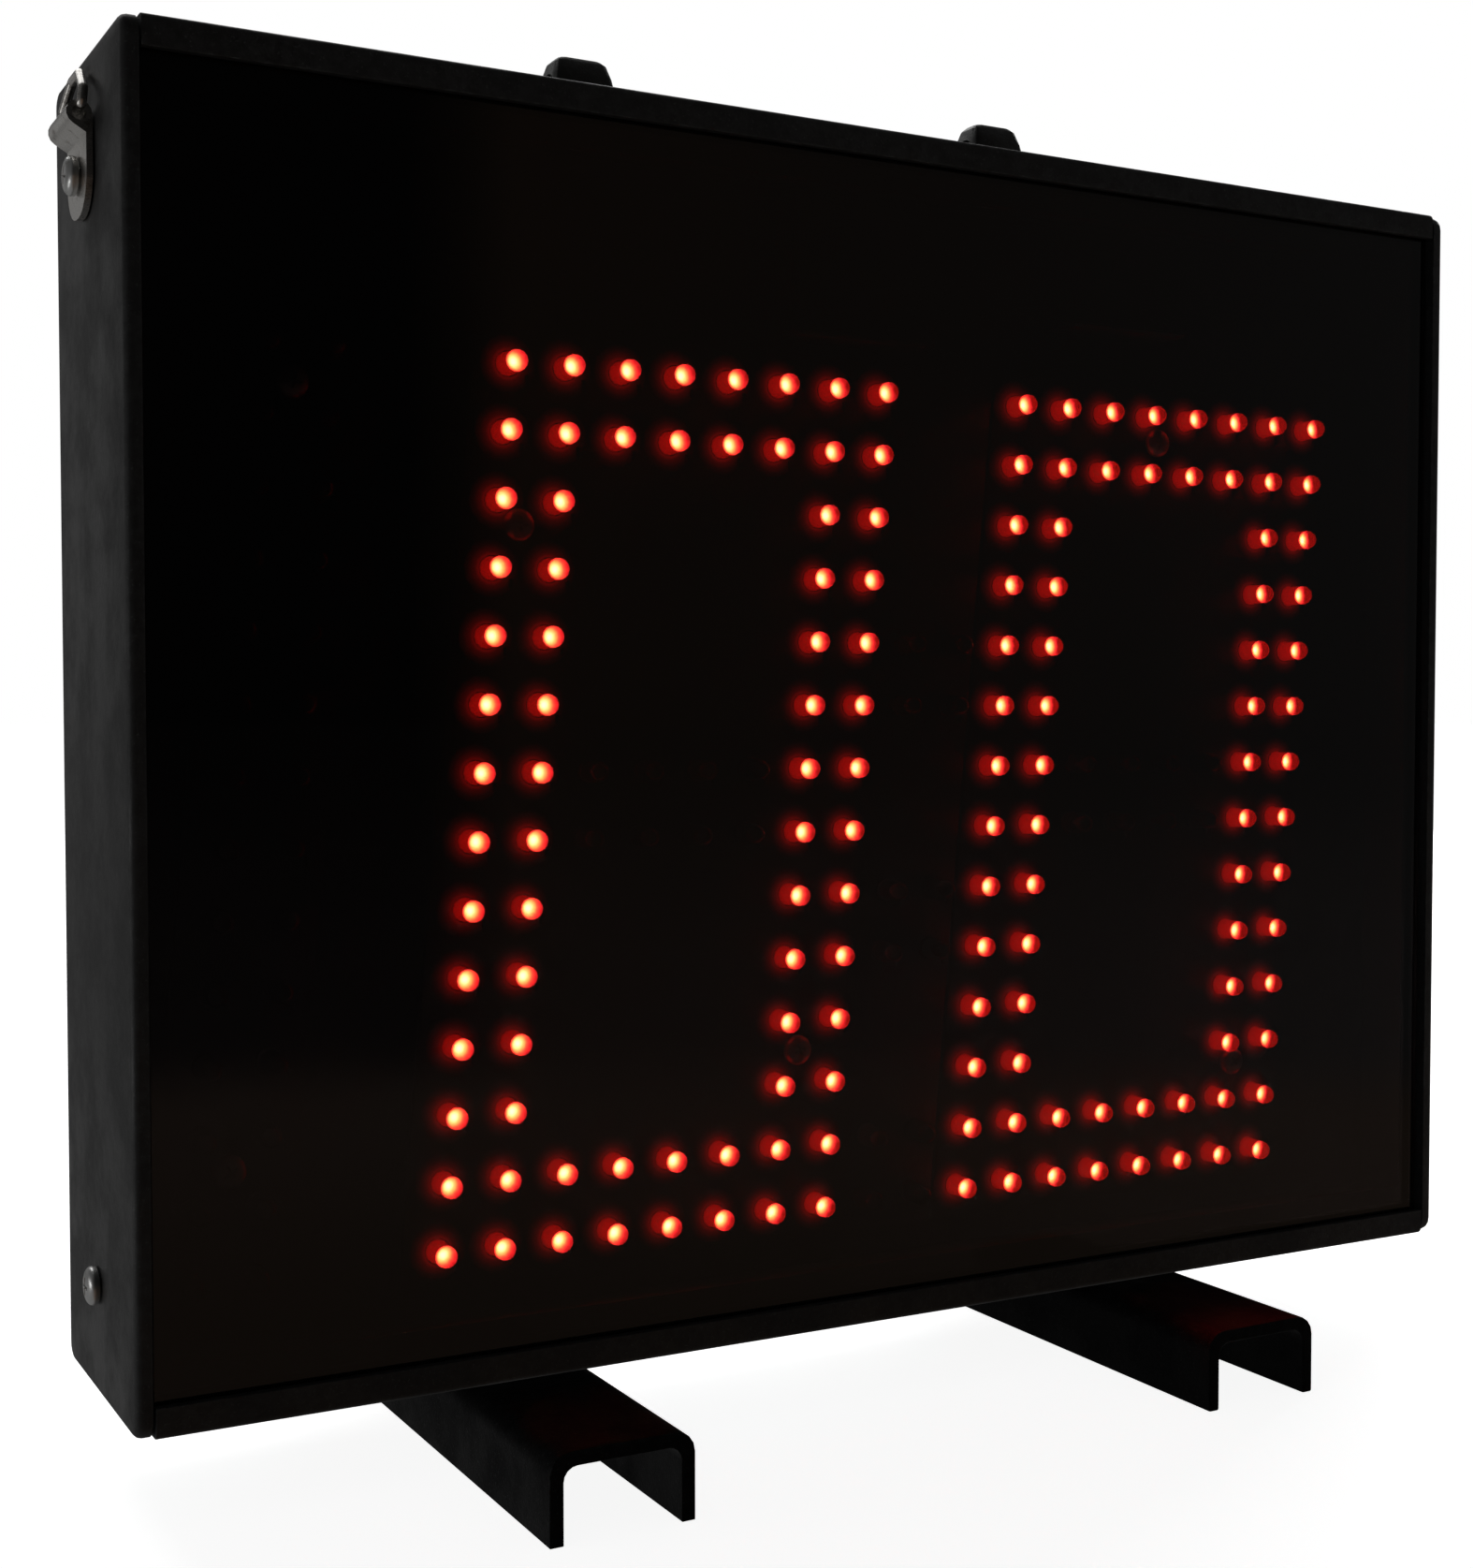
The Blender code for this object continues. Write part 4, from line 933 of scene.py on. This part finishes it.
put(board_screws, "housing", "zinc_steel")

beside, clear_of_screw = Vector((4.6 * MM, 0, -3.2 * MM)), 4.8 * MM
resistor_places = [(point + beside, facing) for point, facing in led_points(lit + unlit)
                   if all((point + beside - screw).length > clear_of_screw
                          for screw, _ in board_screw_places)]
put(scattered("resistors", RESISTOR, resistor_places, BLACK_MASK), "housing", "led_board")
print("boards: 3, resistors:", len(resistor_places), "board screws:", len(board_screw_places))

# %% [markdown]
# ## Rings and the folding handle
# The ring and the bail are bent round bars. A curve with a round bevel follows their centre
# line, with every corner an arc, and is then made a mesh. The ring leans on the end plate's upper
# edge; the bail is folded back and rests on the box.

# %% Bent bars
def arc_corner(last, here, following, radius, steps):
    to_last, to_next = (last - here).normalized(), (following - here).normalized()
    half = to_last.angle(to_next) / 2
    middle = here + (to_last + to_next).normalized() * radius / math.sin(half)
    first = here + to_last * radius / math.tan(half) - middle
    final = here + to_next * radius / math.tan(half) - middle
    return [middle + first.slerp(final, k / steps) for k in range(steps + 1)]


ARC_STEPS = 10


def bent_bar(name, points, radii, bar_radius, finish, closed, place):
    """A round bar along the points, with arcs at its corners, then put in its place by a matrix."""
    count = len(points)
    path = [] if closed else [Vector(points[0])]
    scale = 1000.0  # arcs are worked out in millimetres
    for k in range(count) if closed else range(1, count - 1):
        around = (Vector(points[m % count]) * scale for m in (k - 1, k, k + 1))
        path += [point / scale for point in arc_corner(*around, radii[k] * scale, ARC_STEPS)]
    if not closed:
        path.append(Vector(points[-1]))
    data = bpy.data.curves.new(name, "CURVE")
    data.dimensions, data.bevel_depth, data.bevel_resolution = "3D", bar_radius, 6
    data.use_fill_caps = not closed
    spline = data.splines.new("POLY")
    spline.points.add(len(path) - 1)
    for target, point in zip(spline.points, path):
        target.co = (*(place @ point), 1)
    spline.use_cyclic_u = closed
    curve = bpy.data.objects.new(f"{name}_curve", data)
    bpy.context.scene.collection.objects.link(curve)
    bpy.context.view_layer.update()
    graph = bpy.context.evaluated_depsgraph_get()
    mesh = bpy.data.meshes.new_from_object(curve.evaluated_get(graph))
    bpy.data.objects.remove(curve)
    bm = bmesh.new()
    bm.from_mesh(mesh)
    bmesh.ops.remove_doubles(bm, verts=bm.verts, dist=1e-6)
    bmesh.ops.recalc_face_normals(bm, faces=bm.faces)
    bpy.data.meshes.remove(mesh)
    return new_piece(name, bm, finish)


RING_WIRE, RING_LEAN = 1.0 * MM, math.radians(8)
RING_HALF, RING_SHOULDER, RING_TOP, RING_RISE = 12.3 * MM, 5.8 * MM, 4.2 * MM, 11.6 * MM
ring_outline = [(0, -RING_HALF, 0), (0, RING_HALF, 0), (0, RING_HALF, RING_SHOULDER),
                (0, RING_TOP, RING_RISE), (0, -RING_TOP, RING_RISE), (0, -RING_HALF, RING_SHOULDER)]
ring_corners = [2.5 * MM] * 2 + [3.0 * MM] * 4
for side, sign in (("left", -1), ("right", 1)):
    hinge = Vector(joints[f"{side}_ring_swing"]["pos_m"])
    place = Matrix.Translation(hinge) @ Matrix.Rotation(-sign * RING_LEAN, 4, "Y")
    ring = bent_bar(f"{side}_ring_shown", ring_outline, ring_corners, RING_WIRE, NICKEL, True, place)
    put(ring, f"{side}_ring", "bright_steel", f"{side}_ring")
    print(ring.name, [round(v / MM, 1) for v in ring.dimensions])

# %% [markdown]
# The bail's droop is the angle at which its arms meet the box's rear edge. It follows from the
# bar's radius and the height of its axis, just as the solid was made.

# %% Bail and grip
BAIL_R, BAIL_ARM_X, BAIL_REACH, BAIL_BEND = 3.0 * MM, 46.0 * MM, 48 * MM, 4.8 * MM
bail_hinge = Vector(joints["handle_fold"]["pos_m"])
edge_reach, axis_height = box_high.y - bail_hinge.y, bail_hinge.z - box_high.z
BAIL_GAP = 0.4 * MM
droop = (math.acos((BAIL_R + BAIL_GAP) / math.hypot(edge_reach, axis_height))
         - math.atan2(edge_reach, axis_height))
bail_place = Matrix.Translation(bail_hinge) @ Matrix.Rotation(-droop, 4, "X")
pin_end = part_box("handle_bail")[1].x - bail_hinge.x
bail_points = [(-pin_end, 0, 0), (-BAIL_ARM_X, 0, 0), (-BAIL_ARM_X, BAIL_REACH, 0),
               (BAIL_ARM_X, BAIL_REACH, 0), (BAIL_ARM_X, 0, 0), (pin_end, 0, 0)]
bends = [BAIL_BEND] * len(bail_points)
bail = bent_bar("handle_bail_shown", bail_points, bends, BAIL_R, NICKEL, False, bail_place)
put(bail, "handle", "bright_steel", "handle_bail")
print("bail droops", round(math.degrees(droop), 1), "degrees")

# %% [markdown]
# The grip is a rubber sleeve. Its outside swells in four soft waves for the fingers, and fine
# rings give hold. A turned profile that runs out along the outside and back through the bore
# makes it in one go.

# %% Handle grip
def make_grip(name, half, outer, bore, waves=4, rings=44):
    segments, steps = 32, rings * 4
    profile = [(bore, -half), (outer - 0.9 * MM, -half), (outer - 0.2 * MM, -half + 0.6 * MM)]
    for k in range(1, steps):
        x = -half + 0.9 * MM + (2 * half - 1.8 * MM) * k / steps
        swell = 0.30 * MM * math.cos(math.tau * waves * x / (2 * half))
        groove = 0.16 * MM * (1 if k % 4 in (0, 1) else 0)
        profile.append((outer - 0.32 * MM + swell - groove, x))
    profile += [(outer - 0.2 * MM, half - 0.6 * MM), (outer - 0.9 * MM, half), (bore, half)]
    bm = bmesh.new()
    loops = [[bm.verts.new((x, *on_circle(r, k, segments))) for k in range(segments)] for r, x in profile]
    join_rings(bm, loops + loops[:1], segments)
    bmesh.ops.translate(bm, vec=(0, BAIL_REACH, 0), verts=bm.verts)
    bmesh.ops.transform(bm, matrix=bail_place, verts=bm.verts)
    bmesh.ops.recalc_face_normals(bm, faces=bm.faces)
    return new_piece(name, bm, RUBBER, smooth_angle=60)


grip = make_grip("handle_grip_shown", 38 * MM, 7 * MM, BAIL_R + 0.45 * MM)
put(grip, "handle", "rubber", "handle_grip")
print("grip", len(grip.data.polygons), "faces")

# %% [markdown]
# ## Pieces that keep their solid
# Gaskets, the chassis plate and the electronics are inside the box. Their solids are right as
# they are, and they only need their finishes.

# %% Finishes of the kept solids
kept = {
    RUBBER: ["window_gasket", "rear_cover_gasket"],
    POWDER: ["chassis_plate"],
    GREEN_MASK: ["control_board", "charge_board"],
    BRASS: [f"{label}_standoff_{end}" for label, _, _ in board_edges for end in ("upper", "lower")],
    SHRINK_WRAP: ["battery_pack"],
    ZINC: ["battery_bracket", "handle_screw_left", "handle_screw_right"],
    JACKET: ["battery_lead", "inlet_lead"],
    RIBBON: ["display_ribbon"],
    PLASTIC: ["radar_module"],
}
for finish, names in kept.items():
    for name in names:
        nodes[name].data.materials.clear()
        nodes[name].data.materials.append(finish)
print("kept solids:", sum(len(names) for names in kept.values()))
